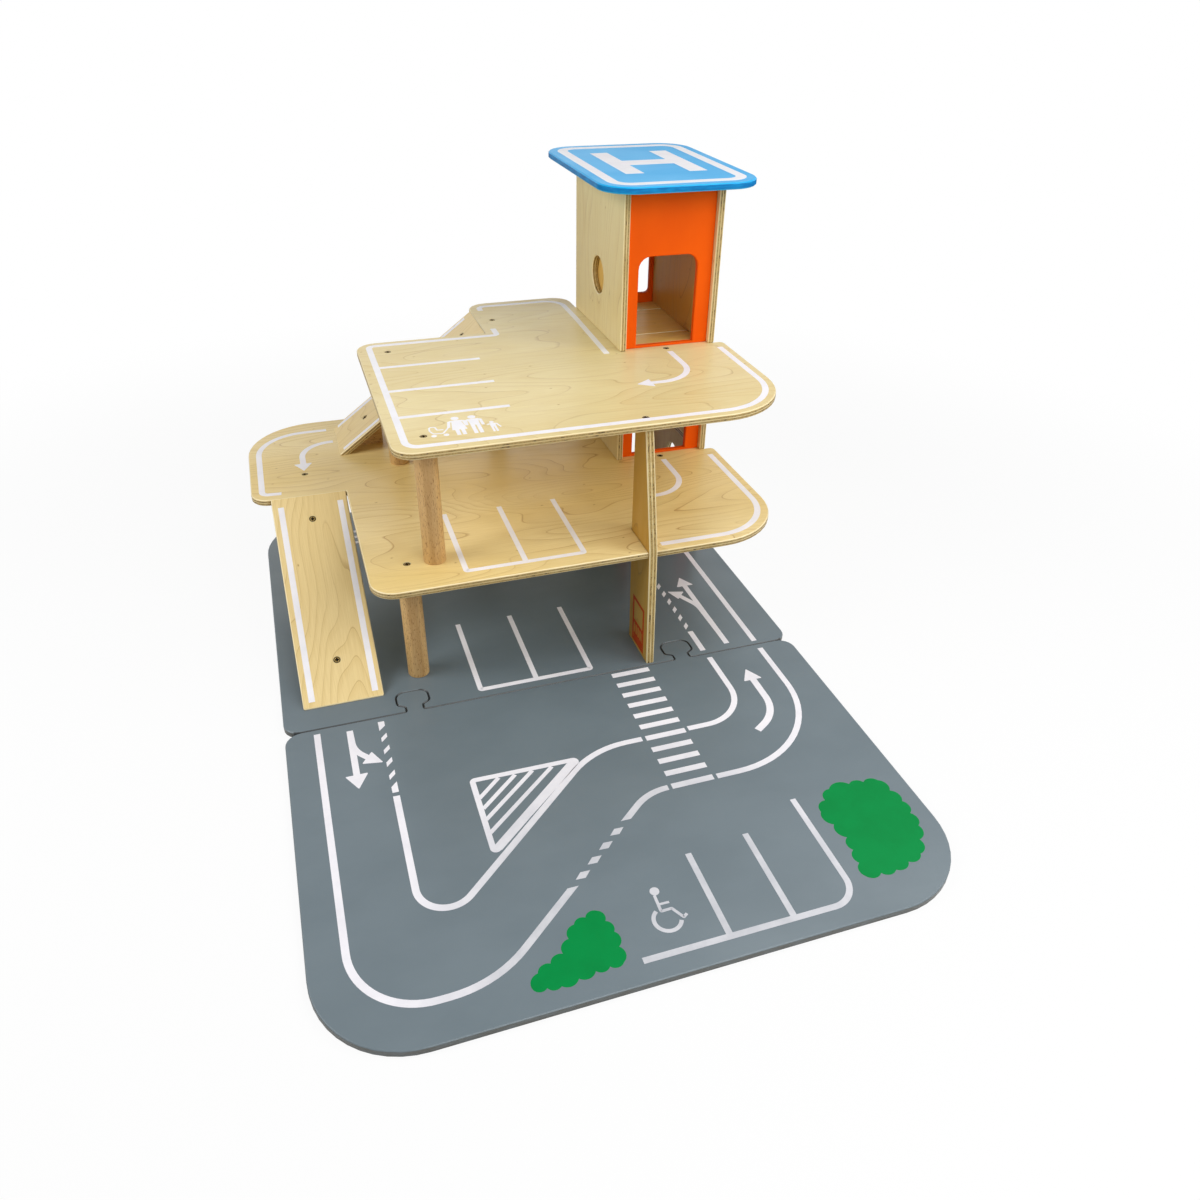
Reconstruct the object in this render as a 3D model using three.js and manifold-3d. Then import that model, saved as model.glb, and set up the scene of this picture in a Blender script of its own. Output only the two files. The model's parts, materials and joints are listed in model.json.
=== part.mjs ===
// A toy parking garage: two decks on dowels and a tapered upright, two ramps, a lift tower
// with a sliding cabin and a helipad roof, and a base in two boards with puzzle tabs.
// Millimetres. X runs right, Y runs back and Z runs up. Places are measured from the base's
// front left corner on the floor, and the whole is centred on the base at the end.

import * as THREE from "three";
import { mergeVertices } from "three/addons/utils/BufferGeometryUtils.js";
import Module from "manifold-3d";

const wasm = await Module();
wasm.setup();

// Boards, dowels and clearances
const baseThickness = 8;
const deckThickness = 8;
const panelThickness = 8;
const cabinThickness = 8;
const rampThickness = 8;
const roofThickness = 8;
const finThickness = 10;
const columnDiameter = 25;
const columnArris = 1;
const arris = 1;
const roofArris = 1.5;
const boardCornerRadius = 2;
const fitGap = 0.3;
const chordTolerance = 0.2;
const cutOverrun = 5;

// Base
const baseWidth = 620;
const baseDepth = 900;
const baseCornerRadius = 90;
const frontBoardDepth = 408.5;
const seamCornerRadius = 18;
const tabInset = 145;
const tabNeckWidth = 19.5;
const tabNeckLength = 9.5;
const tabNeckRadius = 3;
const tabShoulderLength = 5;
const tabHeadWidth = 37;
const tabHeadLength = 21.5;
const tabHeadRadius = 10;

// Storeys
const lowerStoreyHeight = 145;
const upperStoreyHeight = 142.5;
const topStoreyHeight = 194.5;

// Decks
const deckEdgeInset = 1;
const deckRightInset = 6.5;
const deckFrontRightRadius = 90;
const deckTailOverhang = 2.5;
const deckTailRadius = 10;
const deckRearRightRadius = 35;
const innerCornerRadius = 1.5;
const lowerDeckSetback = 13.5;
const lowerDeckFrontLeftRadius = 28;
const landingDepth = 225;
const landingRearRadius = 90;
const landingFrontRadius = 22;
const upperDeckSetback = 17.5;
const upperDeckLeftSetback = 40;
const upperDeckCornerRadius = 24;
const upperDeckRearLeftRadius = 26;

// Tower
const towerWidth = 128.5;
const towerDepth = 190;
const towerRightInset = 20;
const towerRearInset = 52.5;
const frontPanelInset = 7;
const doorWidth = 77.5;
const doorHeight = 112.5;
const doorOffset = 2;
const doorCornerRadius = 15;
const doorSillHeight = 3;
const windowWidth = 85.5;
const windowHeight = 100;
const windowSillHeight = 14.5;
const windowCornerRadius = 6;
const handHoleDiameter = 47;
const lowerHandHoleDrop = 48;
const upperHandHoleDrop = 59.5;
const topHandHoleDrop = 124;
const cleatSize = 16;
const cleatScrewOffset = 2.75;

// Lift cabin, parked at the second deck
const cabinSideGap = 0.75;
const cabinEndGap = 1;
const cabinWallHeight = 130;
const cabinStepUp = 2;
const wheelGrooveWidth = 3;
const wheelGrooveDepth = 2.5;
const wheelGrooveInset = 33;

// Helipad roof
const roofLeftOverhang = 36.5;
const roofRightOverhang = 31.5;
const roofFrontOverhang = 43;
const roofRearOverhang = 38.5;
const roofCornerRadius = 40;

// Ramps, with their blocks
const rampWidth = 91;
const rampNose = 1;
const rampHeadGap = 0.5;
const rampEndGap = 12;
const lowerRampInset = 23.5;
const lowerRampSideGap = 1;
const lowerRampRun = 228.5;
const lowerRampFootScrew = 44.5;
const lowerRampHeadScrew = 27.5;
const upperRampRun = 205.5;
const upperRampFootInset = 2.5;
const upperRampRearInset = 30.5;
const upperRampSideGap = 3.5;
const upperRampFootScrew = 42;
const upperRampHeadScrew = 22.5;
const blockWidth = 40;
const footBlockReach = 19;
const headBlockDepth = 10;

// Tapered upright under both decks
const finRightInset = 192;
const finFootLead = 10;
const finFootDepth = 63;
const finWaistLead = 2;
const finWaistDepth = 61;
const finTopSetback = 11;
const finTopDepth = 32.5;
const finScrewInset = 3;
const finTopScrewSetback = 8.5;

// Column places, from the edges of the deck that each one carries
const lowerColumnInset = 45;
const lowerColumnSetback = 56;
const landingColumnInset = 68;
const landingColumnSetback = 61;
const rearColumnInset = 75;
const lowerRearColumnLead = 31.5;
const upperColumnInset = 36.5;
const upperColumnSetback = 38.5;
const upperRearColumnInset = 21;

// Screws
const screwHeadDiameter = 8;
const screwHeadHeight = 2.25;
const screwRimHeight = 0.25;
const screwShankDiameter = 3.5;
const screwTipLength = 4;
const screwSink = 0.25;
const screwRecessLength = 4.5;
const screwRecessWidth = 1.1;
const screwRecessDepth = 1.5;
const longScrewLength = 30;
const shortScrewLength = 20;

// Counts
const columnSides = 20;
const screwSides = 12;
const circleSides = 24;

// Heights that follow
const baseTop = baseThickness;
const lowerDeckBottom = baseTop + lowerStoreyHeight;
const lowerDeckTop = lowerDeckBottom + deckThickness;
const upperDeckBottom = lowerDeckTop + upperStoreyHeight;
const upperDeckTop = upperDeckBottom + deckThickness;
const roofBottom = upperDeckTop + topStoreyHeight;

// Plan places that follow
const deckBack = baseDepth - deckEdgeInset;
const deckRight = baseWidth - deckRightInset;
const landingLeft = deckEdgeInset;
const landingFront = deckBack - landingDepth;
const lowerDeckLeft = lowerRampInset + rampWidth + lowerRampSideGap;
const lowerDeckFront = frontBoardDepth + lowerDeckSetback;
const upperDeckLeft = lowerDeckLeft + upperDeckLeftSetback;
const upperDeckFront = lowerDeckFront + upperDeckSetback;
const upperRampBack = deckBack - upperRampRearInset;
const upperRampFront = upperRampBack - rampWidth;
const upperRampFoot = lowerDeckLeft + upperRampFootInset;
const upperDeckStepLeft = upperRampFoot + upperRampRun + rampHeadGap;
const upperDeckStepBack = upperRampFront - upperRampSideGap;

const towerRight = baseWidth - towerRightInset;
const towerLeft = towerRight - towerWidth;
const towerBack = baseDepth - towerRearInset;
const towerFront = towerBack - towerDepth;
const towerMiddleX = (towerLeft + towerRight) / 2;
const towerMiddleY = (towerFront + towerBack) / 2;
const shaftLeft = towerLeft + panelThickness;
const shaftRight = towerRight - panelThickness;
const frontPanelFront = towerFront + frontPanelInset;
const shaftFront = frontPanelFront + panelThickness;
const shaftBack = towerBack - panelThickness;

const finLeft = baseWidth - finRightInset;
const finRight = finLeft + finThickness;
const finMiddleX = finLeft + finThickness / 2;
const finFootFront = lowerDeckFront - finFootLead;
const finFootBack = finFootFront + finFootDepth;
const finWaistFront = lowerDeckFront - finWaistLead;
const finWaistBack = finWaistFront + finWaistDepth;
const finTopFront = upperDeckFront + finTopSetback;
const finTopBack = finTopFront + finTopDepth;

const columnRadius = columnDiameter / 2;
const headBlockSeat = upperRearColumnInset - columnRadius - fitGap;
const upperRearColumnX = upperDeckStepLeft + upperRearColumnInset;
const rearColumnY = deckBack - rearColumnInset;

// Colours
const ply = new THREE.MeshStandardMaterial({ color: 0xdcc193, roughness: 0.55, metalness: 0 });
const beech = new THREE.MeshStandardMaterial({ color: 0xc6904f, roughness: 0.6, metalness: 0 });
const greyPaint = new THREE.MeshStandardMaterial({ color: 0x858b8d, roughness: 0.4, metalness: 0 });
const orangePaint = new THREE.MeshStandardMaterial({ color: 0xf26000, roughness: 0.45, metalness: 0 });
const bluePaint = new THREE.MeshStandardMaterial({ color: 0x2795dd, roughness: 0.4, metalness: 0 });
const brass = new THREE.MeshStandardMaterial({ color: 0x8a6a3c, roughness: 0.4, metalness: 0.9 });

const garage = new THREE.Group();

function addPiece(name, geometry, material) {
  const mesh = new THREE.Mesh(geometry, material);
  mesh.name = name;
  garage.add(mesh);
  return mesh;
}

// An outline of [x, y, radius] corners becomes points, with an arc at each rounded corner.
function roundedPoints(corners) {
  const points = [];
  corners.forEach(([x, y, wanted], index) => {
    const corner = new THREE.Vector2(x, y);
    const before = new THREE.Vector2(...corners.at(index - 1)).sub(corner);
    const after = new THREE.Vector2(...corners[(index + 1) % corners.length]).sub(corner);
    const turn = Math.sign(after.cross(before));
    const halfAngle = before.angleTo(after) / 2;
    const room = Math.min(before.length(), after.length()) / 2;
    const reach = Math.min(wanted / Math.tan(halfAngle), room);
    const radius = reach * Math.tan(halfAngle);
    if (radius <= chordTolerance) {
      points.push(corner);
      return;
    }
    const start = before.clone().setLength(reach);
    const middle = before.clone().normalize().add(after.clone().normalize());
    const centre = middle.setLength(radius / Math.sin(halfAngle));
    const sweep = Math.PI - 2 * halfAngle;
    const step = 2 * Math.acos(1 - chordTolerance / radius);
    const steps = Math.max(2, Math.ceil(sweep / step));
    const spoke = start.sub(centre);
    for (let i = 0; i <= steps; i += 1) {
      const angle = (turn * sweep * i) / steps;
      points.push(spoke.clone().rotateAround(new THREE.Vector2(), angle).add(centre).add(corner));
    }
  });
  return points;
}

// Moves each side of a counterclockwise outline out by the gap, keeping its rounding parallel.
function grownCorners(corners, gap) {
  return corners.map(([x, y, radius], index) => {
    const here = new THREE.Vector2(x, y);
    const into = here.clone().sub(new THREE.Vector2(...corners.at(index - 1))).normalize();
    const out = new THREE.Vector2(...corners[(index + 1) % corners.length]).sub(here).normalize();
    const turn = into.cross(out);
    const shift = out.clone().sub(into).multiplyScalar(-gap / turn);
    return [x + shift.x, y + shift.y, Math.max(0, radius + Math.sign(turn) * gap)];
  });
}

function circlePoints(x, y, diameter) {
  return new THREE.Path().absarc(x, y, diameter / 2, 0, Math.PI * 2).getPoints(circleSides / 2).slice(1);
}

function rectangle(left, right, bottom, top, radius) {
  return [[left, bottom, radius], [right, bottom, radius], [right, top, radius], [left, top, radius]];
}

// A flat board with eased edges, its underside on z = 0
function board(points, thickness, edge, holes = []) {
  const shape = new THREE.Shape(points);
  shape.holes = holes.map((hole) => new THREE.Path(hole));
  const geometry = new THREE.ExtrudeGeometry(shape, {
    depth: thickness - 2 * edge,
    bevelThickness: edge,
    bevelSize: edge,
    bevelOffset: -edge,
    bevelSegments: 1,
  });
  return geometry.translate(0, 0, edge);
}

// A board without eased edges, for small blocks
function plainBoard(points, thickness) {
  return new THREE.ExtrudeGeometry(new THREE.Shape(points), { depth: thickness, bevelEnabled: false });
}

// Stands a board up: its outline's x stays along X and its y becomes height.
function standFacingFront(mesh, front, thickness) {
  mesh.rotation.x = Math.PI / 2;
  mesh.position.y = front + thickness;
}

// Stands a board up: its outline's x becomes Y and its y becomes height.
function standFacingSide(mesh, left) {
  mesh.rotation.set(Math.PI / 2, 0, Math.PI / 2, "ZYX");
  mesh.position.x = left;
}

function box(left, right, front, back, bottom, top) {
  const geometry = new THREE.BoxGeometry(right - left, back - front, top - bottom);
  return geometry.translate((left + right) / 2, (front + back) / 2, (bottom + top) / 2);
}

function solid(geometry) {
  const bare = geometry.clone();
  bare.deleteAttribute("normal");
  bare.deleteAttribute("uv");
  const merged = mergeVertices(bare);
  return new wasm.Manifold(new wasm.Mesh({
    numProp: 3,
    vertProperties: new Float32Array(merged.attributes.position.array),
    triVerts: new Uint32Array(merged.index.array),
  }));
}

function geometryOf(manifold) {
  const mesh = manifold.getMesh();
  const geometry = new THREE.BufferGeometry();
  geometry.setAttribute("position", new THREE.BufferAttribute(mesh.vertProperties, 3));
  geometry.setIndex(new THREE.BufferAttribute(mesh.triVerts, 1));
  geometry.computeVertexNormals();
  return geometry;
}

function cut(geometry, cutters) {
  const remaining = cutters.reduce((left, cutter) => left.subtract(solid(cutter)), solid(geometry));
  return geometryOf(remaining);
}

// A turned shape about Z from [radius, height] pairs
function turned(profile, sides) {
  const points = profile.map(([radius, height]) => new THREE.Vector2(radius, height));
  return new THREE.LatheGeometry(points, sides).rotateX(Math.PI / 2);
}

// A countersunk screw whose head top lies a little below z = 0 and whose tip points down
function screwGeometry(length) {
  const top = -screwSink;
  const shank = screwShankDiameter / 2;
  const head = screwHeadDiameter / 2;
  const body = turned([
    [0, -length],
    [shank, screwTipLength - length],
    [shank, top - screwHeadHeight],
    [head, top - screwRimHeight],
    [head, top],
    [0, top],
  ], screwSides);
  const half = screwRecessLength / 2;
  const slot = screwRecessWidth / 2;
  const floor = top - screwRecessDepth;
  return cut(body, [
    box(-half, half, -slot, slot, floor, cutOverrun),
    box(-slot, slot, -half, half, floor, cutOverrun),
  ]);
}

// The hole that the screw lies in, with the fit gap all round
function screwHole(length) {
  const shank = screwShankDiameter / 2 + fitGap;
  const head = screwHeadDiameter / 2 + fitGap;
  const seat = -screwSink - screwHeadHeight - fitGap;
  return turned([
    [0, -length - fitGap],
    [shank, -length - fitGap],
    [shank, seat],
    [head, -screwSink - screwRimHeight - fitGap],
    [head, cutOverrun],
    [0, cutOverrun],
  ], screwSides);
}

// Each screw's name, place and way: down from a deck's top or up from a board's underside
const screws = [];

function planScrew(name, x, y, z, length, up = false) {
  const screw = { name, x, y, z, length, up };
  screws.push(screw);
  return screw;
}

function placedHole(screw) {
  const hole = screwHole(screw.length);
  if (screw.up) {
    hole.rotateX(Math.PI);
  }
  return hole.translate(screw.x, screw.y, screw.z);
}

function addScrew(screw) {
  const mesh = addPiece(screw.name, screwGeometry(screw.length), brass);
  mesh.rotation.x = screw.up ? Math.PI : 0;
  mesh.position.set(screw.x, screw.y, screw.z);
}

// Column places
const columns = [
  {
    name: "lower_front_column",
    x: lowerDeckLeft + lowerColumnInset,
    y: lowerDeckFront + lowerColumnSetback,
    lower: true,
  },
  { name: "landing_column", x: landingLeft + landingColumnInset, y: landingFront + landingColumnSetback, lower: true },
  { name: "lower_rear_column", x: upperRearColumnX - lowerRearColumnLead, y: rearColumnY, lower: true },
  {
    name: "upper_front_column",
    x: upperDeckLeft + upperColumnInset,
    y: upperDeckFront + upperColumnSetback,
    lower: false,
  },
  {
    name: "upper_left_column",
    x: upperDeckLeft + upperColumnInset,
    y: upperDeckStepBack - upperColumnInset,
    lower: false,
  },
  { name: "upper_rear_column", x: upperRearColumnX, y: rearColumnY, lower: false },
];

columns.forEach((column) => {
  const { name, x, y, lower } = column;
  column.bottom = lower ? baseTop : lowerDeckTop;
  column.top = lower ? lowerDeckBottom : upperDeckBottom;
  const footFace = lower ? 0 : lowerDeckBottom;
  column.topScrew = planScrew(`${name}_top_screw`, x, y, column.top + deckThickness, longScrewLength);
  column.footScrew = planScrew(`${name}_foot_screw`, x, y, footFace, longScrewLength, true);
});

const finTopScrew = planScrew(
  "fin_top_screw", finLeft + finScrewInset, finTopFront + finTopScrewSetback, upperDeckTop, longScrewLength,
);
const finFootScrew = planScrew(
  "fin_foot_screw", finMiddleX, (finFootFront + finFootBack) / 2, 0, longScrewLength, true,
);
const cleatY = frontPanelFront - cleatSize / 2;
const cleatScrewX = towerMiddleX - cleatScrewOffset;
const lowerCleatScrew = planScrew("lower_cleat_screw", cleatScrewX, cleatY, lowerDeckTop, shortScrewLength);
const upperCleatScrew = planScrew("upper_cleat_screw", cleatScrewX, cleatY, upperDeckTop, shortScrewLength);

const lowerTopScrews = columns.filter((column) => column.lower).map((column) => column.topScrew);
const upperTopScrews = columns.filter((column) => !column.lower).map((column) => column.topScrew);
const baseScrews = columns.filter((column) => column.lower).map((column) => column.footScrew);
const upperFootScrews = columns.filter((column) => !column.lower).map((column) => column.footScrew);

// Base boards: the front one has the tabs, and the rear one the sockets
function tabCorners(centre) {
  const neck = tabNeckWidth / 2;
  const head = tabHeadWidth / 2;
  const neckEnd = frontBoardDepth + tabNeckLength;
  const shoulder = neckEnd + tabShoulderLength;
  const tip = shoulder + tabHeadLength;
  return [
    [centre + neck, frontBoardDepth, tabNeckRadius],
    [centre + neck, neckEnd, tabNeckRadius],
    [centre + head, shoulder, tabShoulderLength],
    [centre + head, tip, tabHeadRadius],
    [centre - head, tip, tabHeadRadius],
    [centre - head, shoulder, tabShoulderLength],
    [centre - neck, neckEnd, tabNeckRadius],
    [centre - neck, frontBoardDepth, tabNeckRadius],
  ];
}

const frontEdgeCorners = [
  [0, frontBoardDepth, seamCornerRadius],
  [0, 0, baseCornerRadius],
  [baseWidth, 0, baseCornerRadius],
  [baseWidth, frontBoardDepth, seamCornerRadius],
];
const frontBoardCorners = [
  ...frontEdgeCorners,
  ...tabCorners(baseWidth - tabInset),
  ...tabCorners(tabInset),
];
const socketCorners = grownCorners(frontBoardCorners, fitGap).slice(frontEdgeCorners.length).reverse();
const rearBoardCorners = [
  [0, frontBoardDepth + fitGap, seamCornerRadius],
  ...socketCorners,
  [baseWidth, frontBoardDepth + fitGap, seamCornerRadius],
  [baseWidth, baseDepth, baseCornerRadius],
  [0, baseDepth, baseCornerRadius],
];

function addBase() {
  addPiece("front_base_plate", board(roundedPoints(frontBoardCorners), baseThickness, arris), greyPaint);
  const rear = board(roundedPoints(rearBoardCorners), baseThickness, arris);
  const holes = [...baseScrews, finFootScrew].map(placedHole);
  addPiece("rear_base_plate", cut(rear, holes), greyPaint);
}

// Both decks end at the tower in the same way: a short tail at its front right corner, a
// rim under its panels, and a rounded corner behind it on the left.
const towerCorners = [
  [deckRight, towerFront + deckTailOverhang, deckTailRadius],
  [towerRight, towerFront + deckTailOverhang, 0],
  [towerRight, towerBack, boardCornerRadius],
  [towerLeft, towerBack, innerCornerRadius],
  [towerLeft, deckBack, deckRearRightRadius],
];
const shaftOpening = roundedPoints(rectangle(shaftLeft, shaftRight, shaftFront, shaftBack, boardCornerRadius));

const lowerDeckCorners = [
  [landingLeft, landingFront, landingFrontRadius],
  [lowerDeckLeft, landingFront, innerCornerRadius],
  [lowerDeckLeft, lowerDeckFront, lowerDeckFrontLeftRadius],
  [finLeft - fitGap, lowerDeckFront, 0],
  [finLeft - fitGap, finWaistBack + fitGap, 0],
  [finRight + fitGap, finWaistBack + fitGap, 0],
  [finRight + fitGap, lowerDeckFront, 0],
  [deckRight, lowerDeckFront, deckFrontRightRadius],
  ...towerCorners,
  [landingLeft, deckBack, landingRearRadius],
];
const upperDeckCorners = [
  [upperDeckLeft, upperDeckStepBack, upperDeckCornerRadius],
  [upperDeckLeft, upperDeckFront, upperDeckCornerRadius],
  [deckRight, upperDeckFront, deckFrontRightRadius],
  ...towerCorners,
  [upperDeckStepLeft, deckBack, upperDeckRearLeftRadius],
  [upperDeckStepLeft, upperDeckStepBack, 0],
];

function addDeck(name, corners, bottom, deckScrews) {
  const flat = board(roundedPoints(corners), deckThickness, arris, [shaftOpening]);
  flat.translate(0, 0, bottom);
  addPiece(name, cut(flat, deckScrews.map(placedHole)), ply);
}

function addColumn({ name, x, y, bottom, top, topScrew, footScrew }) {
  const height = top - bottom;
  const profile = [
    [0, 0],
    [columnRadius - columnArris, 0],
    [columnRadius, columnArris],
    [columnRadius, height - columnArris],
    [columnRadius - columnArris, height],
    [0, height],
  ];
  const dowel = turned(profile, columnSides).translate(x, y, bottom);
  addPiece(name, cut(dowel, [placedHole(topScrew), placedHole(footScrew)]), beech);
}

// The upright leans back over the first deck, which is notched round it.
function addFin() {
  const outline = roundedPoints([
    [finFootFront, baseTop, 0],
    [finFootBack, baseTop, 0],
    [finWaistBack, lowerDeckTop, 0],
    [finTopBack, upperDeckBottom, 0],
    [finTopFront, upperDeckBottom, 0],
    [finWaistFront, lowerDeckTop, 0],
  ]);
  const upright = board(outline, finThickness, arris);
  upright.rotateX(Math.PI / 2).rotateZ(Math.PI / 2).translate(finLeft, 0, 0);
  addPiece("front_fin", cut(upright, [placedHole(finTopScrew), placedHole(finFootScrew)]), ply);
}

// One storey of the tower: two side panels with a hand hole, a front panel with a doorway
// and a rear panel with a window
function addTowerStorey(storey, floor, height, handHoleDrop) {
  const ceiling = floor + height;
  const hole = circlePoints(towerMiddleY, ceiling - handHoleDrop, handHoleDiameter);
  const side = roundedPoints(rectangle(towerFront, towerBack, floor, ceiling, boardCornerRadius));
  const sideLefts = { left: towerLeft, right: shaftRight };
  Object.entries(sideLefts).forEach(([name, left]) => {
    standFacingSide(addPiece(`${storey}_${name}_panel`, board(side, panelThickness, arris, [hole]), ply), left);
  });

  const face = roundedPoints(rectangle(shaftLeft, shaftRight, floor, ceiling, 0));
  const doorMiddle = towerMiddleX - doorOffset;
  const doorLeft = doorMiddle - doorWidth / 2;
  const doorRight = doorMiddle + doorWidth / 2;
  const doorway = roundedPoints([
    [doorLeft, floor + doorSillHeight, 0],
    [doorRight, floor + doorSillHeight, 0],
    [doorRight, floor + doorHeight, doorCornerRadius],
    [doorLeft, floor + doorHeight, doorCornerRadius],
  ]);
  const front = addPiece(`${storey}_front_panel`, board(face, panelThickness, arris, [doorway]), orangePaint);
  standFacingFront(front, frontPanelFront, panelThickness);

  const windowBottom = floor + windowSillHeight;
  const window = roundedPoints(rectangle(
    towerMiddleX - windowWidth / 2,
    towerMiddleX + windowWidth / 2,
    windowBottom,
    windowBottom + windowHeight,
    windowCornerRadius,
  ));
  const rear = addPiece(`${storey}_rear_panel`, board(face, panelThickness, arris, [window]), orangePaint);
  standFacingFront(rear, shaftBack, panelThickness);
}

// Battens under the decks, against the doorway panels, for the screws in front of the doors
function addCleat(name, deckBottom, screw) {
  const batten = box(
    shaftLeft, shaftRight, frontPanelFront - cleatSize, frontPanelFront, deckBottom - cleatSize, deckBottom,
  );
  addPiece(name, cut(batten, [placedHole(screw)]), beech);
}

function addRoof() {
  const outline = roundedPoints(rectangle(
    towerLeft - roofLeftOverhang,
    towerRight + roofRightOverhang,
    towerFront - roofFrontOverhang,
    towerBack + roofRearOverhang,
    roofCornerRadius,
  ));
  addPiece("helipad_roof", board(outline, roofThickness, roofArris), bluePaint).position.z = roofBottom;
}

// The cabin: a floor with two wheel grooves, two walls on it and a roof
function addCabin() {
  const left = shaftLeft + cabinSideGap;
  const right = shaftRight - cabinSideGap;
  const front = shaftFront + cabinEndGap;
  const back = shaftBack - cabinEndGap;
  const floorTop = upperDeckTop + cabinStepUp;
  const wallTop = floorTop + cabinWallHeight;
  const plate = roundedPoints(rectangle(left, right, front, back, boardCornerRadius));

  const floor = board(plate, cabinThickness, arris).translate(0, 0, floorTop - cabinThickness);
  const grooveStarts = [front + wheelGrooveInset, back - wheelGrooveInset - wheelGrooveWidth];
  const grooves = grooveStarts.map((start) => box(
    left - cutOverrun,
    right + cutOverrun,
    start,
    start + wheelGrooveWidth,
    floorTop - wheelGrooveDepth,
    floorTop + cutOverrun,
  ));
  addPiece("lift_floor", cut(floor, grooves), ply);

  const wall = roundedPoints(rectangle(front, back, floorTop, wallTop, boardCornerRadius));
  standFacingSide(addPiece("lift_left_wall", board(wall, cabinThickness, arris), ply), left);
  standFacingSide(addPiece("lift_right_wall", board(wall, cabinThickness, arris), ply), right - cabinThickness);
  addPiece("lift_roof", board(plate, cabinThickness, arris), ply).position.z = wallTop;
}

// A ramp is made with its foot at the origin, rising along +Y, and then turned and placed.
function addRamp({ name, run, rise, deckDrop, footScrew, headScrew, place, turn }) {
  const slope = (rise - rampNose) / run;
  const angle = Math.atan(slope);
  const stretch = Math.hypot(1, slope);
  const topAt = (along) => rampNose + slope * along;
  const underAt = (along) => topAt(along) - rampThickness * stretch;
  const blockTopAt = (along) => underAt(along) - fitGap * stretch;
  const halfWidth = rampWidth / 2;
  const length = run * stretch + rampThickness + cutOverrun;

  const onSurface = (geometry, along) => geometry.rotateX(angle).translate(0, along, topAt(along));
  const screwAlongs = { foot: footScrew, head: run - headScrew };
  const holes = () => Object.values(screwAlongs).map((along) => onSurface(screwHole(shortScrewLength), along));

  const plank = board(
    roundedPoints(rectangle(-halfWidth, halfWidth, 0, length, boardCornerRadius)), rampThickness, arris,
  );
  onSurface(plank.translate(0, 0, -rampThickness), 0);
  const room = box(-rampWidth, rampWidth, -run, run, 0, rise + cutOverrun);
  const trimmed = geometryOf(solid(plank).intersect(solid(room)));

  const halfBlock = blockWidth / 2;
  const footStart = footScrew - footBlockReach;
  const footEnd = footScrew + footBlockReach;
  const footOutline = [
    [footStart, 0, 0],
    [footEnd, 0, 0],
    [footEnd, blockTopAt(footEnd), 0],
    [footStart, blockTopAt(footStart), 0],
  ];
  const deckEdge = run + rampHeadGap;
  const headStart = run - headScrew - rampEndGap;
  const headBottom = blockTopAt(headStart) - headBlockDepth;
  const headOutline = [
    [headStart, headBottom, 0],
    [deckEdge + headBlockSeat, headBottom, 0],
    [deckEdge + headBlockSeat, rise - deckDrop, 0],
    [deckEdge, rise - deckDrop, 0],
    [deckEdge, blockTopAt(deckEdge), 0],
    [headStart, blockTopAt(headStart), 0],
  ];
  const block = (outline) => {
    const wedge = plainBoard(roundedPoints(outline), blockWidth);
    return cut(wedge.rotateX(Math.PI / 2).rotateZ(Math.PI / 2).translate(-halfBlock, 0, 0), holes());
  };

  const pieces = [
    addPiece(name, cut(trimmed, holes()), ply),
    addPiece(`${name}_foot_block`, block(footOutline), beech),
    addPiece(`${name}_head_block`, block(headOutline), beech),
  ];
  Object.entries(screwAlongs).forEach(([end, along]) => {
    pieces.push(addPiece(`${name}_${end}_screw`, onSurface(screwGeometry(shortScrewLength), along), brass));
  });
  pieces.forEach((piece) => {
    piece.position.set(...place);
    piece.rotation.z = turn;
  });
}

addBase();
addDeck("lower_deck", lowerDeckCorners, lowerDeckBottom, [...lowerTopScrews, ...upperFootScrews, lowerCleatScrew]);
addDeck("upper_deck", upperDeckCorners, upperDeckBottom, [...upperTopScrews, upperCleatScrew, finTopScrew]);
columns.forEach(addColumn);
addFin();
addTowerStorey("ground", baseTop, lowerStoreyHeight, lowerHandHoleDrop);
addTowerStorey("middle", lowerDeckTop, upperStoreyHeight, upperHandHoleDrop);
addTowerStorey("top", upperDeckTop, topStoreyHeight, topHandHoleDrop);
addCleat("lower_cleat", lowerDeckBottom, lowerCleatScrew);
addCleat("upper_cleat", upperDeckBottom, upperCleatScrew);
addRoof();
addCabin();
addRamp({
  name: "lower_ramp",
  run: lowerRampRun,
  rise: lowerDeckTop - baseTop,
  deckDrop: deckThickness,
  footScrew: lowerRampFootScrew,
  headScrew: lowerRampHeadScrew,
  place: [lowerRampInset + rampWidth / 2, landingFront - rampHeadGap - lowerRampRun, baseTop],
  turn: 0,
});
addRamp({
  name: "upper_ramp",
  run: upperRampRun,
  rise: upperDeckTop - lowerDeckTop,
  deckDrop: deckThickness,
  footScrew: upperRampFootScrew,
  headScrew: upperRampHeadScrew,
  place: [upperRampFoot, upperRampFront + rampWidth / 2, lowerDeckTop],
  turn: -Math.PI / 2,
});
screws.forEach(addScrew);

garage.position.set(-baseWidth / 2, -baseDepth / 2, 0);

export default garage;
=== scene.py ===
"""The looks of a toy parking garage with a lift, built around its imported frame.

The scene is in metres, in the frame's own axes: X runs right, Y runs back and Z runs up.
Printed markings are drawn in millimetres from the base's front left corner."""

import json
import math

import bmesh
import bpy
from mathutils import Matrix, Vector

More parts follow.
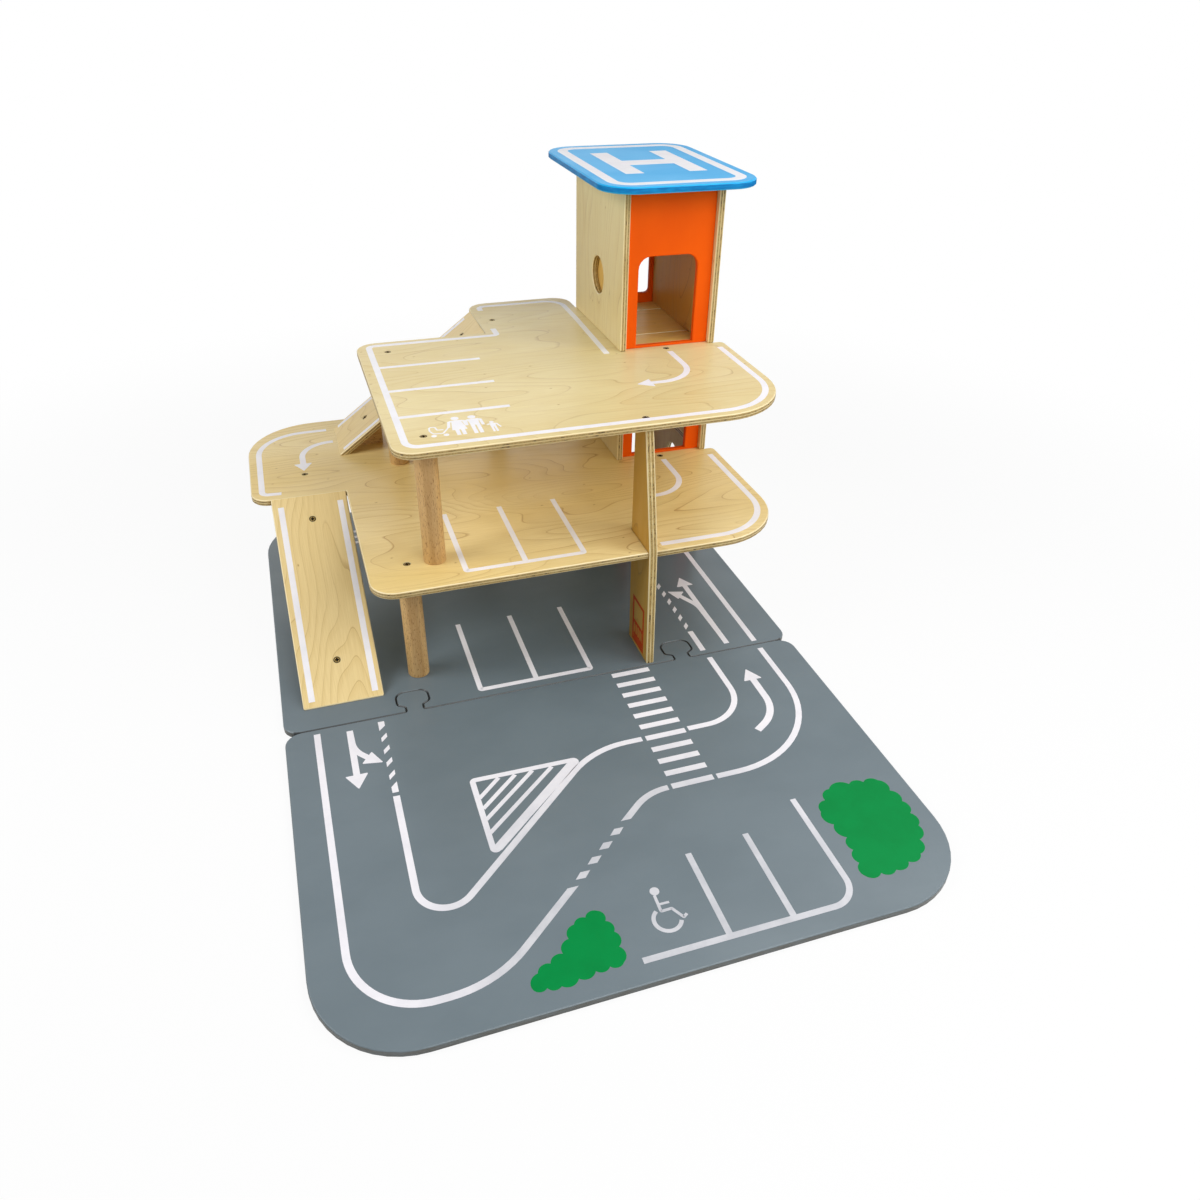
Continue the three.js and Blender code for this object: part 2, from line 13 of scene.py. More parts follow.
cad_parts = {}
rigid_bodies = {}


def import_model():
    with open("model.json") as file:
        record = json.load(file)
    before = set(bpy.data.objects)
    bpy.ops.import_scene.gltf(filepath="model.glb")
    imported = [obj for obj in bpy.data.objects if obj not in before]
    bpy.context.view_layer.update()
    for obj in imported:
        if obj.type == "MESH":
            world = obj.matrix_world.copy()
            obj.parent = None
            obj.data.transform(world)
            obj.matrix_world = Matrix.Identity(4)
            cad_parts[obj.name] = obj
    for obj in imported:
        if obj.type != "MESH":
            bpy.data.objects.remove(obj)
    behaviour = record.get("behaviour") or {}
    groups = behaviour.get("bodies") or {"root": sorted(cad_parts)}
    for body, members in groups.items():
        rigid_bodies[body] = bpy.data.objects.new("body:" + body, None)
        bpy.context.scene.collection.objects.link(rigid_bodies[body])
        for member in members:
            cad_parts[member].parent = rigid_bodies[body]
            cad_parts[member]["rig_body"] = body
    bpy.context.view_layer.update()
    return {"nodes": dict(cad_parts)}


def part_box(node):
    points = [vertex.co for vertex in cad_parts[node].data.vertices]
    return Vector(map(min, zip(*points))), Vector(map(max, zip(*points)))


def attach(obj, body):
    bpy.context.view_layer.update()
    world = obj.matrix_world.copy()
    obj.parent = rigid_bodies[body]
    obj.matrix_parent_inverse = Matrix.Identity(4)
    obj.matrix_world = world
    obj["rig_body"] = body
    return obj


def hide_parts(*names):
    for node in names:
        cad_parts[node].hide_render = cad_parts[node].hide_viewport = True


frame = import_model()
nodes = frame["nodes"]

MM = 0.001

# Corners that follow from the frame
base_low, base_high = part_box("front_base_plate")
rear_base_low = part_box("rear_base_plate")[0]
roof_low, roof_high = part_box("helipad_roof")

# Sizes of the fine work, in metres
ARRIS_ROUNDING = 0.3 * MM
PRINT_HEIGHT = 0.1 * MM
PRINT_SINK = 0.05 * MM
PRINT_STEP = 0.01 * MM
SAME_PLACE = 0.001 * MM
SURFACE_DEPTH = 0.01 * MM
GRAIN_SHIFT = 0.37

# Counts and angles of the fine work
ARRIS_SEGMENTS = 2
ARRIS_ANGLES = (0.5, 1.1)
FLAT_ANGLE = math.radians(0.4)
LEVEL_LIMIT = 0.1
SLOPE_LIMITS = (0.3, 0.99)
BOARD_SHARP_ANGLE = 50
DOWEL_SHARP_ANGLE = 40
SCREW_SHARP_ANGLE = 30
VENEERS = 5
ARC_STEP = math.radians(5)
DISC_SIDES = 32
LOBE_STEPS = 8

# Widths of the printed lines, in millimetres
ROAD_WIDTH = 7
DECK_WIDTH = 7.5
BAY_WIDTH = 6.2


def rgb(hexadecimal):
    """A linear colour from a written sRGB one."""
    channels = [int(hexadecimal[i:i + 2], 16) / 255 for i in (0, 2, 4)]
    return [c / 12.92 if c <= 0.04045 else ((c + 0.055) / 1.055) ** 2.4 for c in channels] + [1]


# Materials

class Graph:
    """Short calls for building one material's nodes."""

    def __init__(self, name, **settings):
        self.material = bpy.data.materials.new(name)
        self.material.use_nodes = True
        self.tree = self.material.node_tree
        self.tree.nodes.clear()
        self.output = self.node("ShaderNodeOutputMaterial")
        self.shader = self.node("ShaderNodeBsdfPrincipled")
        self.link(self.shader.outputs[0], self.output.inputs[0])
        for socket, value in settings.items():
            self.shader.inputs[socket.replace("_", " ")].default_value = value

    def node(self, kind, **settings):
        made = self.tree.nodes.new(kind)
        for key, value in settings.items():
            setattr(made, key, value)
        return made

    def link(self, source, target):
        self.tree.links.new(source, target)

    def put(self, value, socket):
        """Sets a socket to a number, or links it to another node's output."""
        if isinstance(value, bpy.types.NodeSocket):
            self.link(value, socket)
        else:
            socket.default_value = value

    def attribute(self, name, output="Vector"):
        return self.node("ShaderNodeAttribute", attribute_name=name).outputs[output]

    def stretch(self, vector, scale, offset=(0, 0, 0)):
        mapping = self.node("ShaderNodeMapping")
        self.link(vector, mapping.inputs["Vector"])
        mapping.inputs["Scale"].default_value = scale
        mapping.inputs["Location"].default_value = offset
        return mapping.outputs[0]

    def noise(self, vector, detail=2, roughness=0.5, distortion=0):
        made = self.node("ShaderNodeTexNoise")
        self.link(vector, made.inputs["Vector"])
        made.inputs["Scale"].default_value = 1
        made.inputs["Detail"].default_value = detail
        made.inputs["Roughness"].default_value = roughness
        made.inputs["Distortion"].default_value = distortion
        return made.outputs["Fac"]

    def maths(self, operation, first, second=0.0):
        made = self.node("ShaderNodeMath", operation=operation)
        self.put(first, made.inputs[0])
        self.put(second, made.inputs[1])
        return made.outputs[0]

    def spread(self, value, low, high, to_low=0.0, to_high=1.0):
        """Maps low to high smoothly on to the two new ends."""
        made = self.node("ShaderNodeMapRange", interpolation_type="SMOOTHSTEP")
        self.put(value, made.inputs["Value"])
        for socket, end in zip(("From Min", "From Max", "To Min", "To Max"), (low, high, to_low, to_high)):
            made.inputs[socket].default_value = end
        return made.outputs[0]

    def mix(self, factor, first, second):
        made = self.node("ShaderNodeMix", data_type="RGBA")
        self.put(factor, made.inputs["Factor"])
        self.put(first, made.inputs[6])
        self.put(second, made.inputs[7])
        return made.outputs[2]

    def parts(self, vector):
        """A vector's three parts."""
        made = self.node("ShaderNodeSeparateXYZ")
        self.link(vector, made.inputs[0])
        return made.outputs

    def bump(self, height, distance, strength):
        made = self.node("ShaderNodeBump")
        self.put(height, made.inputs["Height"])
        made.inputs["Distance"].default_value = distance
        made.inputs["Strength"].default_value = strength
        return made.outputs[0]

    def finish(self, colour, roughness, normal=None):
        for value, socket in ((colour, "Base Color"), (roughness, "Roughness"), (normal, "Normal")):
            if value is not None:
                self.put(value, self.shader.inputs[socket])
        return self.material


# How many features a pattern has in a metre: along, across and through the grain
PATCHES = (1.6, 7, 0)
FLAMES = (26, 7, 0)
GROWTH = (2.1, 9.2, 0)
FADING = (5, 16, 0)
FIBRES = (22, 850, 0)
FLECKS = (95, 1300, 0)
KNOTS = (3.2, 5.4, 0)
VENEER_WANDER = (18, 18, 0)
VENEER_ENDS = (700, 700, 700)
VENEER_PITS = (160, 160, 500)
PLY_GLOSS = (30, 120, 40)
BEECH_BANDS = (6, 90, 90)
BEECH_FIBRES = (40, 900, 900)
BEECH_FLECKS = (220, 1500, 1500)
PAINT_MOTTLE = (7, 11, 7)
PAINT_DUST = (900, 900, 900)
PAINT_RUB = (60, 60, 300)
PAINT_FIBRES = (9, 260, 260)
PAINT_PEEL = (420, 420, 420)
INK_PATCHES = (35, 35, 35)
INK_GRIT = (1200, 1200, 1200)
METAL_STAINS = (700, 700, 700)


def ply_face(g, grain, fibres, pale, warm, figure, lines, bold):
    """The face veneer: warm and pale patches, growth lines, fibres and short flecks."""
    patches = g.noise(g.stretch(grain, PATCHES), detail=2)
    tone = g.mix(g.spread(patches, 0.3, 0.7), rgb(warm), rgb(pale))
    flame = g.noise(g.stretch(grain, FLAMES, (7, 3, 0)), detail=2)
    tone = g.mix(g.spread(flame, 0.45, 0.8, 0, 0.2), tone, rgb(warm))

    # Growth lines: the contours of a slow field make long arches and closed islands
    field = g.noise(g.stretch(grain, GROWTH, (3, 5, 0)), detail=1.6, roughness=0.4, distortion=0.12)
    contours = g.maths("FRACT", g.maths("MULTIPLY", field, float(lines)))
    line = g.spread(contours, 0.0, 0.07, 1, 0)
    softer = g.spread(contours, 0.5, 1.0, 0, 1)
    strength = g.spread(g.noise(g.stretch(grain, FADING, (1, 9, 0))), 0.36, 0.6, bold / 3, bold)
    tone = g.mix(g.maths("MULTIPLY", line, strength), tone, rgb(figure))
    tone = g.mix(g.maths("MULTIPLY", softer, g.maths("MULTIPLY", strength, 0.4)), tone, rgb("cfae68"))

    tone = g.mix(g.spread(fibres, 0.3, 0.75, 0, 0.28), tone, rgb("c8a868"))
    flecks = g.noise(g.stretch(grain, FLECKS, (2, 2, 0)), detail=1)
    return g.mix(g.spread(flecks, 0.68, 0.78, 0, 0.2), tone, rgb("a67c3e"))


def pin_knots(g, grain, tone):
    """Small dark knots, each in a brown halo, in about a quarter of the cells."""
    cells = g.node("ShaderNodeTexVoronoi", feature="F1", voronoi_dimensions="2D")
    g.link(g.stretch(grain, KNOTS, (1.7, 2.9, 0)), cells.inputs["Vector"])
    chosen = g.maths("GREATER_THAN", g.parts(cells.outputs["Color"])[0], 0.72)
    away = cells.outputs["Distance"]
    halo = g.maths("MULTIPLY", g.spread(away, 0.008, 0.045, 0.55, 0), chosen)
    knot = g.maths("MULTIPLY", g.spread(away, 0.003, 0.011, 0.9, 0), chosen)
    return g.mix(knot, g.mix(halo, tone, rgb("b58a48")), rgb("5d3d20"))


def ply_edge(g, grain, fibres):
    """Long grain and end grain in turn, with a thin dark glue line between them."""
    wander = g.noise(g.stretch(grain, VENEER_WANDER), detail=1)
    depth = g.maths("MULTIPLY", g.attribute("depth", "Fac"), float(VENEERS))
    depth = g.maths("ADD", depth, g.maths("MULTIPLY", g.maths("SUBTRACT", wander, 0.5), 0.22))
    parity = g.maths("MODULO", g.maths("FLOOR", depth), 2.0)
    place = g.maths("FRACT", depth)
    glue = g.spread(g.maths("MINIMUM", place, g.maths("SUBTRACT", 1.0, place)), 0.03, 0.13, 0.75, 0)
    ends = g.noise(g.stretch(grain, VENEER_ENDS), detail=2)
    pits = g.noise(g.stretch(grain, VENEER_PITS, (5, 5, 5)), detail=1)
    long_edge = g.mix(g.spread(fibres, 0.3, 0.7), rgb("decb98"), rgb("c9b078"))
    end_edge = g.mix(g.spread(ends, 0.35, 0.65), rgb("b89c62"), rgb("967a48"))
    end_edge = g.mix(g.spread(pits, 0.6, 0.68, 0, 0.85), end_edge, rgb("3d2a14"))
    edge = g.mix(parity, long_edge, end_edge)
    edge = g.mix(glue, edge, rgb("6e5730"))
    # The outermost veneers, and with them the rounded arris, are pale: partly the face veneer's own colour,
    # partly a painted highlight.
    outer = g.maths("MINIMUM", depth, g.maths("SUBTRACT", float(VENEERS), depth))
    return g.mix(g.spread(outer, 0.3, 0.55, 1, 0), edge, rgb("f0e0b4"))


def ply_material(name, pale, warm, figure="a87f42", lines=22, bold=0.7, specular=0.42):
    """Lacquered maple ply: a flowing figure on its faces and five veneers along its edges."""
    g = Graph(name, Specular_IOR_Level=specular)
    grain = g.attribute("grain")
    fibres = g.noise(g.stretch(grain, FIBRES), detail=3, roughness=0.6)
    face = pin_knots(g, grain, ply_face(g, grain, fibres, pale, warm, figure, lines, bold))
    facing = g.spread(g.attribute("facing", "Fac"), 0.88, 0.97)
    colour = g.mix(facing, ply_edge(g, grain, fibres), face)
    gloss = g.noise(g.stretch(grain, PLY_GLOSS), detail=3)
    roughness = g.spread(gloss, 0.3, 0.7, 0.32, 0.42)
    return g.finish(colour, roughness, g.bump(fibres, 0.02 * MM, 0.5))


def beech_material():
    """Oiled beech: golden, with short dark flecks along the grain."""
    g = Graph("golden_beech")
    grain = g.attribute("grain")
    bands = g.noise(g.stretch(grain, BEECH_BANDS), detail=3)
    tone = g.mix(g.spread(bands, 0.3, 0.7), rgb("dab67c"), rgb("c8a167"))
    fibres = g.noise(g.stretch(grain, BEECH_FIBRES), detail=3, roughness=0.6)
    tone = g.mix(g.spread(fibres, 0.35, 0.7, 0, 0.5), tone, rgb("b88d52"))
    flecks = g.noise(g.stretch(grain, BEECH_FLECKS, (1, 2, 3)), detail=1)
    tone = g.mix(g.spread(flecks, 0.6, 0.68, 0, 0.85), tone, rgb("7c4f25"))
    ends = g.attribute("facing", "Fac")
    tone = g.mix(g.spread(ends, 0.8, 0.95, 0, 0.35), tone, rgb("8d6334"))
    roughness = g.spread(fibres, 0.3, 0.7, 0.42, 0.55)
    return g.finish(tone, roughness, g.bump(fibres, 0.04 * MM, 0.6))


def paint_material(name, colour, darker, edge, roughness, specular=0.5, shaded_crevice=None):
    """Satin lacquer on ply: soft mottling, the grain just telegraphing, a duller worn edge, whose colour
    can also carry painted shade on the sides.

    A crevice (its front, its back and its reach in X) has its arrises painted dark: painted shade between
    the plates."""
    g = Graph(name, Specular_IOR_Level=specular)
    grain = g.attribute("grain")
    mottle = g.noise(g.stretch(grain, PAINT_MOTTLE), detail=4, roughness=0.55)
    tone = g.mix(g.spread(mottle, 0.3, 0.7), rgb(colour), rgb(darker))
    dust = g.noise(g.stretch(grain, PAINT_DUST), detail=1)
    tone = g.mix(g.spread(dust, 0.6, 0.8, 0, 0.35), tone, rgb(darker))
    facing = g.spread(g.attribute("facing", "Fac"), 0.4, 0.75)
    rub = g.noise(g.stretch(grain, PAINT_RUB), detail=3)
    side = g.mix(g.spread(rub, 0.35, 0.7, 0, 0.4), rgb(edge), rgb(darker))
    tone = g.mix(facing, side, tone)
    if shaded_crevice:
        front, back, reach = shaded_crevice
        place = g.parts(g.node("ShaderNodeTexCoord").outputs["Object"])
        behind = g.maths("GREATER_THAN", place[1], front)
        before = g.maths("LESS_THAN", place[1], back)
        within = g.maths("LESS_THAN", g.maths("ABSOLUTE", place[0]), reach)
        inside = g.maths("MULTIPLY", g.maths("MULTIPLY", behind, before), within)
        rim = g.spread(g.attribute("facing", "Fac"), 0.95, 0.995, 1, 0)
        # Painted shade: the arrises in the seam between the base plates are painted dark.
        tone = g.mix(g.maths("MULTIPLY", inside, rim), tone, rgb("282b2c"))
    fibres = g.noise(g.stretch(grain, PAINT_FIBRES), detail=3, roughness=0.6)
    peel = g.noise(g.stretch(grain, PAINT_PEEL), detail=2)
    height = g.maths("ADD", g.maths("MULTIPLY", fibres, 0.6), g.maths("MULTIPLY", peel, 0.4))
    sheen = g.spread(mottle, 0.3, 0.7, roughness, roughness + 0.08)
    return g.finish(tone, sheen, g.bump(height, 0.05 * MM, 0.5))


def print_material(name, colour, darker, roughness=0.42, specular=0.4, worn=None):
    """Screen-printed ink, a little uneven. Where it is worn, some of the paint under it shows."""
    g = Graph(name, Specular_IOR_Level=specular)
    place = g.node("ShaderNodeTexCoord").outputs["Object"]
    uneven = g.noise(g.stretch(place, INK_PATCHES), detail=4, roughness=0.6)
    grit = g.noise(g.stretch(place, INK_GRIT), detail=1)
    tone = g.mix(g.spread(uneven, 0.35, 0.75), rgb(colour), rgb(darker))
    tone = g.mix(g.spread(grit, 0.62, 0.8, 0, 0.4), tone, rgb(darker))
    if worn:
        centre, core, reach, under = worn
        away = g.node("ShaderNodeVectorMath", operation="DISTANCE")
        g.link(place, away.inputs[0])
        away.inputs[1].default_value = centre
        thin = g.spread(away.outputs["Value"], core, reach, 0.42, 0)
        patchy = g.spread(uneven, 0.3, 0.7, 0.85, 1.1)
        tone = g.mix(g.maths("MULTIPLY", thin, patchy), tone, rgb(under))
    return g.finish(tone, roughness, g.bump(grit, 0.02 * MM, 0.4))


def metal_material(name, colour, darker, roughness, metallic=0.9):
    """Stained brass, or the painted shade of a recess in it."""
    g = Graph(name, Metallic=metallic, Specular_IOR_Level=0.1)
    place = g.node("ShaderNodeTexCoord").outputs["Object"]
    stain = g.noise(g.stretch(place, METAL_STAINS), detail=3)
    tone = g.mix(g.spread(stain, 0.3, 0.7), rgb(colour), rgb(darker))
    return g.finish(tone, g.spread(stain, 0.3, 0.7, roughness, roughness + 0.15))


PLY = ply_material("maple_ply", "ecdca8", "e4d096", bold=0.5, specular=0.32)
WARM_PLY = ply_material("warm_maple_ply", "f2dca0", "e7cb82", "ac7a38", lines=31, bold=0.75)
HONEY_PLY = ply_material("honey_maple_ply", "f0d89e", "e7cd8f", "b08648", lines=36, bold=0.6)
# The fin takes a darker, more golden copy of the maple ply: painted shade for its side between the decks.
FIN_SHADED_PLY = ply_material("shaded_golden_maple_ply", "d2a64c", "be9036", specular=0.15)
# The cabin takes a darker, amber copy of the maple ply: painted shade for its place inside the shaft.
CABIN_SHADED_PLY = ply_material("shaded_amber_maple_ply", "e9c06c", "dbac54", specular=0.15)
BEECH = beech_material()
GREY_PAINT = "6a777e"
# The seam between the base plates, whose arrises the grey lacquer paints dark as shade.
SEAM_OVERLAP = 1 * MM
SEAM_END_INSET = 10 * MM
SHADED_SEAM = (rear_base_low.y - SEAM_OVERLAP, base_high.y + SEAM_OVERLAP, base_high.x - SEAM_END_INSET)
GREY = paint_material("grey_lacquer", GREY_PAINT, "637077", "53544f", 0.3, shaded_crevice=SHADED_SEAM)
ORANGE = paint_material("orange_lacquer", "ef5c00", "e75500", "e55500", 0.5, specular=0.1)
# The blue's edge is much darker than its top: painted shade on the roof's sides.
BLUE = paint_material("blue_lacquer", "08b1f0", "07a9e8", "066fb0", 0.34, specular=0.25)
WHITE_PRINT = print_material("white_ink", "f6f4f8", "eeecf1")
WORN_PLACE = (base_low.x + 330 * MM, base_low.y + 40 * MM, base_high.z)
WORN_CORE = 120 * MM
WORN_REACH = 290 * MM
WEAR = (WORN_PLACE, WORN_CORE, WORN_REACH, GREY_PAINT)
ROAD_PRINT = print_material("worn_white_ink", "efedf2", "e6e4ea", worn=WEAR)
GREEN_PRINT = print_material("green_ink", "008640", "00803c", specular=0.1)
ORANGE_PRINT = print_material("orange_ink", "c8480a", "b84008", specular=0.15)
SCREW = metal_material("screw_brass", "b89f6c", "85703f", 0.4)
RECESS_SHADE = metal_material("screw_recess_shade", "140d07", "0a0603", 0.8, metallic=0)


# Fine copies of the boards

X_AXIS = Vector((1, 0, 0))
Y_AXIS = Vector((0, 1, 0))
Z_AXIS = Vector((0, 0, 1))


def grain_attributes(mesh, along, across, through, shift):
    """Stores each point's place in its board, and how squarely each face looks out of it."""
    heights = [vertex.co.dot(through) for vertex in mesh.vertices]
    start, thickness = min(heights), max(heights) - min(heights)
    places = mesh.attributes.new("grain", "FLOAT_VECTOR", "POINT")
    values = []
    for vertex, height in zip(mesh.vertices, heights):
        values += [vertex.co.dot(along) + shift, vertex.co.dot(across) - shift, height - start]
    places.data.foreach_set("vector", values)
    depth = mesh.attributes.new("depth", "FLOAT", "POINT")
    depth.data.foreach_set("value", [(height - start) / thickness for height in heights])
    facing = mesh.attributes.new("facing", "FLOAT", "CORNER")
    corners = [0.0] * len(mesh.loops)
    for polygon in mesh.polygons:
        for loop in polygon.loop_indices:
            corners[loop] = abs(polygon.normal.dot(through))
    facing.data.foreach_set("value", corners)


def smooth(piece, angle):
    """Smooth shading that stays sharp at edges over an angle in degrees."""
    mesh = piece.data
    mesh.polygons.foreach_set("use_smooth", [True] * len(mesh.polygons))
    mesh.set_sharp_from_angle(angle=math.radians(angle))
    weighted = piece.modifiers.new("even_normals", "WEIGHTED_NORMAL")
    weighted.keep_sharp = True


def stand_for(piece, node):
    """The piece rides where the node rides and is shown in its place."""
    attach(piece, nodes[node]["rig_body"])
    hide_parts(node)
    return piece


def new_piece(name, bm, *materials):
    mesh = bpy.data.meshes.new(name)
    bm.to_mesh(mesh)
    bm.free()
    for material in materials:
        mesh.materials.append(material)
    piece = bpy.data.objects.new(name, mesh)
    bpy.context.scene.collection.objects.link(piece)
    return piece


def fine_board(node, slot, material, along, across, through, shift, lower_by=0.0):
    """A board's own shape with its arrises rounded and its grain laid in."""
    bm = bmesh.new()
    bm.from_mesh(nodes[node].data)
    bmesh.ops.remove_doubles(bm, verts=bm.verts, dist=SAME_PLACE)
    bmesh.ops.dissolve_limit(bm, angle_limit=FLAT_ANGLE, verts=bm.verts, edges=bm.edges)
    eased = [edge for edge in bm.edges if is_arris(edge, through)]
    bmesh.ops.bevel(
        bm, geom=eased, offset=ARRIS_ROUNDING, segments=ARRIS_SEGMENTS, affect="EDGES", profile=0.5,
        clamp_overlap=False)
    if lower_by:
        top = max(vertex.co.z for vertex in bm.verts)
        for vertex in bm.verts:
            if vertex.co.z > top - ARRIS_ROUNDING:
                vertex.co.z -= lower_by
    piece = new_piece(node + "_board", bm, material)
    grain_attributes(piece.data, along, across, through, shift)
    smooth(piece, BOARD_SHARP_ANGLE)
    return stand_for(piece, node)


def is_arris(edge, through):
    """True for a bevelled edge that runs round the board, and not through its thickness."""
    if not edge.is_manifold or not ARRIS_ANGLES[0] < edge.calc_face_angle() < ARRIS_ANGLES[1]:
        return False
    run = (edge.verts[0].co - edge.verts[1].co).normalized()
    return abs(run.dot(through)) < LEVEL_LIMIT


def ramp_top(node):
    """The largest sloping face that looks up."""
    low, high = SLOPE_LIMITS
    faces = [face for face in nodes[node].data.polygons if low < face.normal.z < high]
    return max(faces, key=lambda face: face.area)


def ramp_axes(node, rising):
    """The directions up a ramp, across it and out of its top."""
    normal = ramp_top(node).normal.copy()
    along = (rising - normal * rising.dot(normal)).normalized()
    return along, normal.cross(along), normal


LOWER_RAMP_AXES = ramp_axes("lower_ramp", Y_AXIS)
UPPER_RAMP_AXES = ramp_axes("upper_ramp", X_AXIS)

FLAT = (X_AXIS, Y_AXIS, Z_AXIS)
SIDE = (Z_AXIS, Y_AXIS, X_AXIS)
FRONT = (Z_AXIS, X_AXIS, Y_AXIS)

boards = [
    ("front_base_plate", "grey_paint", GREY, FLAT),
    ("rear_base_plate", "grey_paint", GREY, FLAT),
    ("lower_deck", "ply", WARM_PLY, FLAT),
    ("upper_deck", "ply", PLY, FLAT),
    ("helipad_roof", "blue_paint", BLUE, FLAT),
    ("front_fin", "ply", FIN_SHADED_PLY, SIDE),
    ("lower_ramp", "ply", HONEY_PLY, LOWER_RAMP_AXES),
    ("upper_ramp", "ply", HONEY_PLY, UPPER_RAMP_AXES),
    ("lift_floor", "ply", CABIN_SHADED_PLY, FLAT),
    ("lift_roof", "ply", CABIN_SHADED_PLY, FLAT),
    ("lift_left_wall", "ply", CABIN_SHADED_PLY, SIDE),
    ("lift_right_wall", "ply", CABIN_SHADED_PLY, SIDE),
    ("lower_cleat", "beech", BEECH, FLAT),
    ("upper_cleat", "beech", BEECH, FLAT),
    ("lower_ramp_foot_block", "beech", BEECH, FLAT),
    ("lower_ramp_head_block", "beech", BEECH, FLAT),
    ("upper_ramp_foot_block", "beech", BEECH, FLAT),
    ("upper_ramp_head_block", "beech", BEECH, FLAT),
]
for storey in ("ground", "middle", "top"):
    for side in ("left", "right"):
        boards.append((f"{storey}_{side}_panel", "ply", PLY, SIDE))
    for side in ("front", "rear"):
        boards.append((f"{storey}_{side}_panel", "orange_paint", ORANGE, FRONT))

for index, (node, slot, material, axes) in enumerate(boards):
    lowered = PRINT_HEIGHT if node == "helipad_roof" else 0.0
    fine_board(node, slot, material, *axes, shift=GRAIN_SHIFT * index, lower_by=lowered)


# Dowels and screws

DOWEL_SIDES = 64
SCREW_SIDES = 48
DOWEL_ARRIS = 1 * MM
ARRIS_STEPS = 4


def lathe(bm, profile, sides):
    """Turns a list of (radius, height) about Z; both ends are closed at the axis."""
    rings = []
    for radius, height in profile:
        if radius == 0:
            rings.append([bm.verts.new((0, 0, height))])
            continue
        turns = [2 * math.pi * i / sides for i in range(sides)]
        rings.append([bm.verts.new((radius * math.cos(t), radius * math.sin(t), height)) for t in turns])
    for lower, upper in zip(rings, rings[1:]):
        for i in range(sides):
            j = (i + 1) % sides
            below = [lower[i % len(lower)], lower[j % len(lower)]]
            above = [upper[j % len(upper)], upper[i % len(upper)]]
            bm.faces.new(list(dict.fromkeys(below + above)))
    return rings


def dowel(node):
    """A turned beech column with rounded ends."""
    low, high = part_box(node)
    radius = (high.x - low.x) / 2
    height = high.z - low.z
    quarter = [math.pi / 2 * i / ARRIS_STEPS for i in range(ARRIS_STEPS + 1)]
    inner = radius - DOWEL_ARRIS
    foot = [(inner + DOWEL_ARRIS * math.sin(a), DOWEL_ARRIS * (1 - math.cos(a))) for a in quarter]
    head = [(r, height - z) for r, z in reversed(foot)]
    bm = bmesh.new()
    lathe(bm, [(0, 0)] + foot + head + [(0, height)], DOWEL_SIDES)
    centre = (low + high) / 2
    bmesh.ops.translate(bm, verts=bm.verts, vec=(centre.x, centre.y, low.z))
    bmesh.ops.recalc_face_normals(bm, faces=bm.faces)
    piece = new_piece(node + "_dowel", bm, BEECH)
    grain_attributes(piece.data, Z_AXIS, X_AXIS, Y_AXIS, centre.x)
    smooth(piece, DOWEL_SHARP_ANGLE)
    return stand_for(piece, node)


for name in nodes:
    if name.endswith("_column"):
        dowel(name)

SCREW_HEAD = 8 * MM
SCREW_SHANK = 3.5 * MM
SCREW_CONE = 2.25 * MM
SCREW_RIM = 0.25 * MM
SCREW_CHAMFER = 0.9 * MM
SCREW_TIP = 4 * MM
RECESS_LENGTH = 4.8 * MM
RECESS_WIDTH = 1.9 * MM
RECESS_DEPTH = 1.5 * MM
RECESS_TAPER = 0.55


def cross_points(length, width):
    """The twelve corners of a cross, counterclockwise."""
    a, b = length / 2, width / 2
    quarter = [(a, -b), (a, b), (b, b)]
    turned = []
    for turn in range(4):
        spin = Matrix.Rotation(turn * math.pi / 2, 2)
        turned += [spin @ Vector(point) for point in quarter]
    return turned


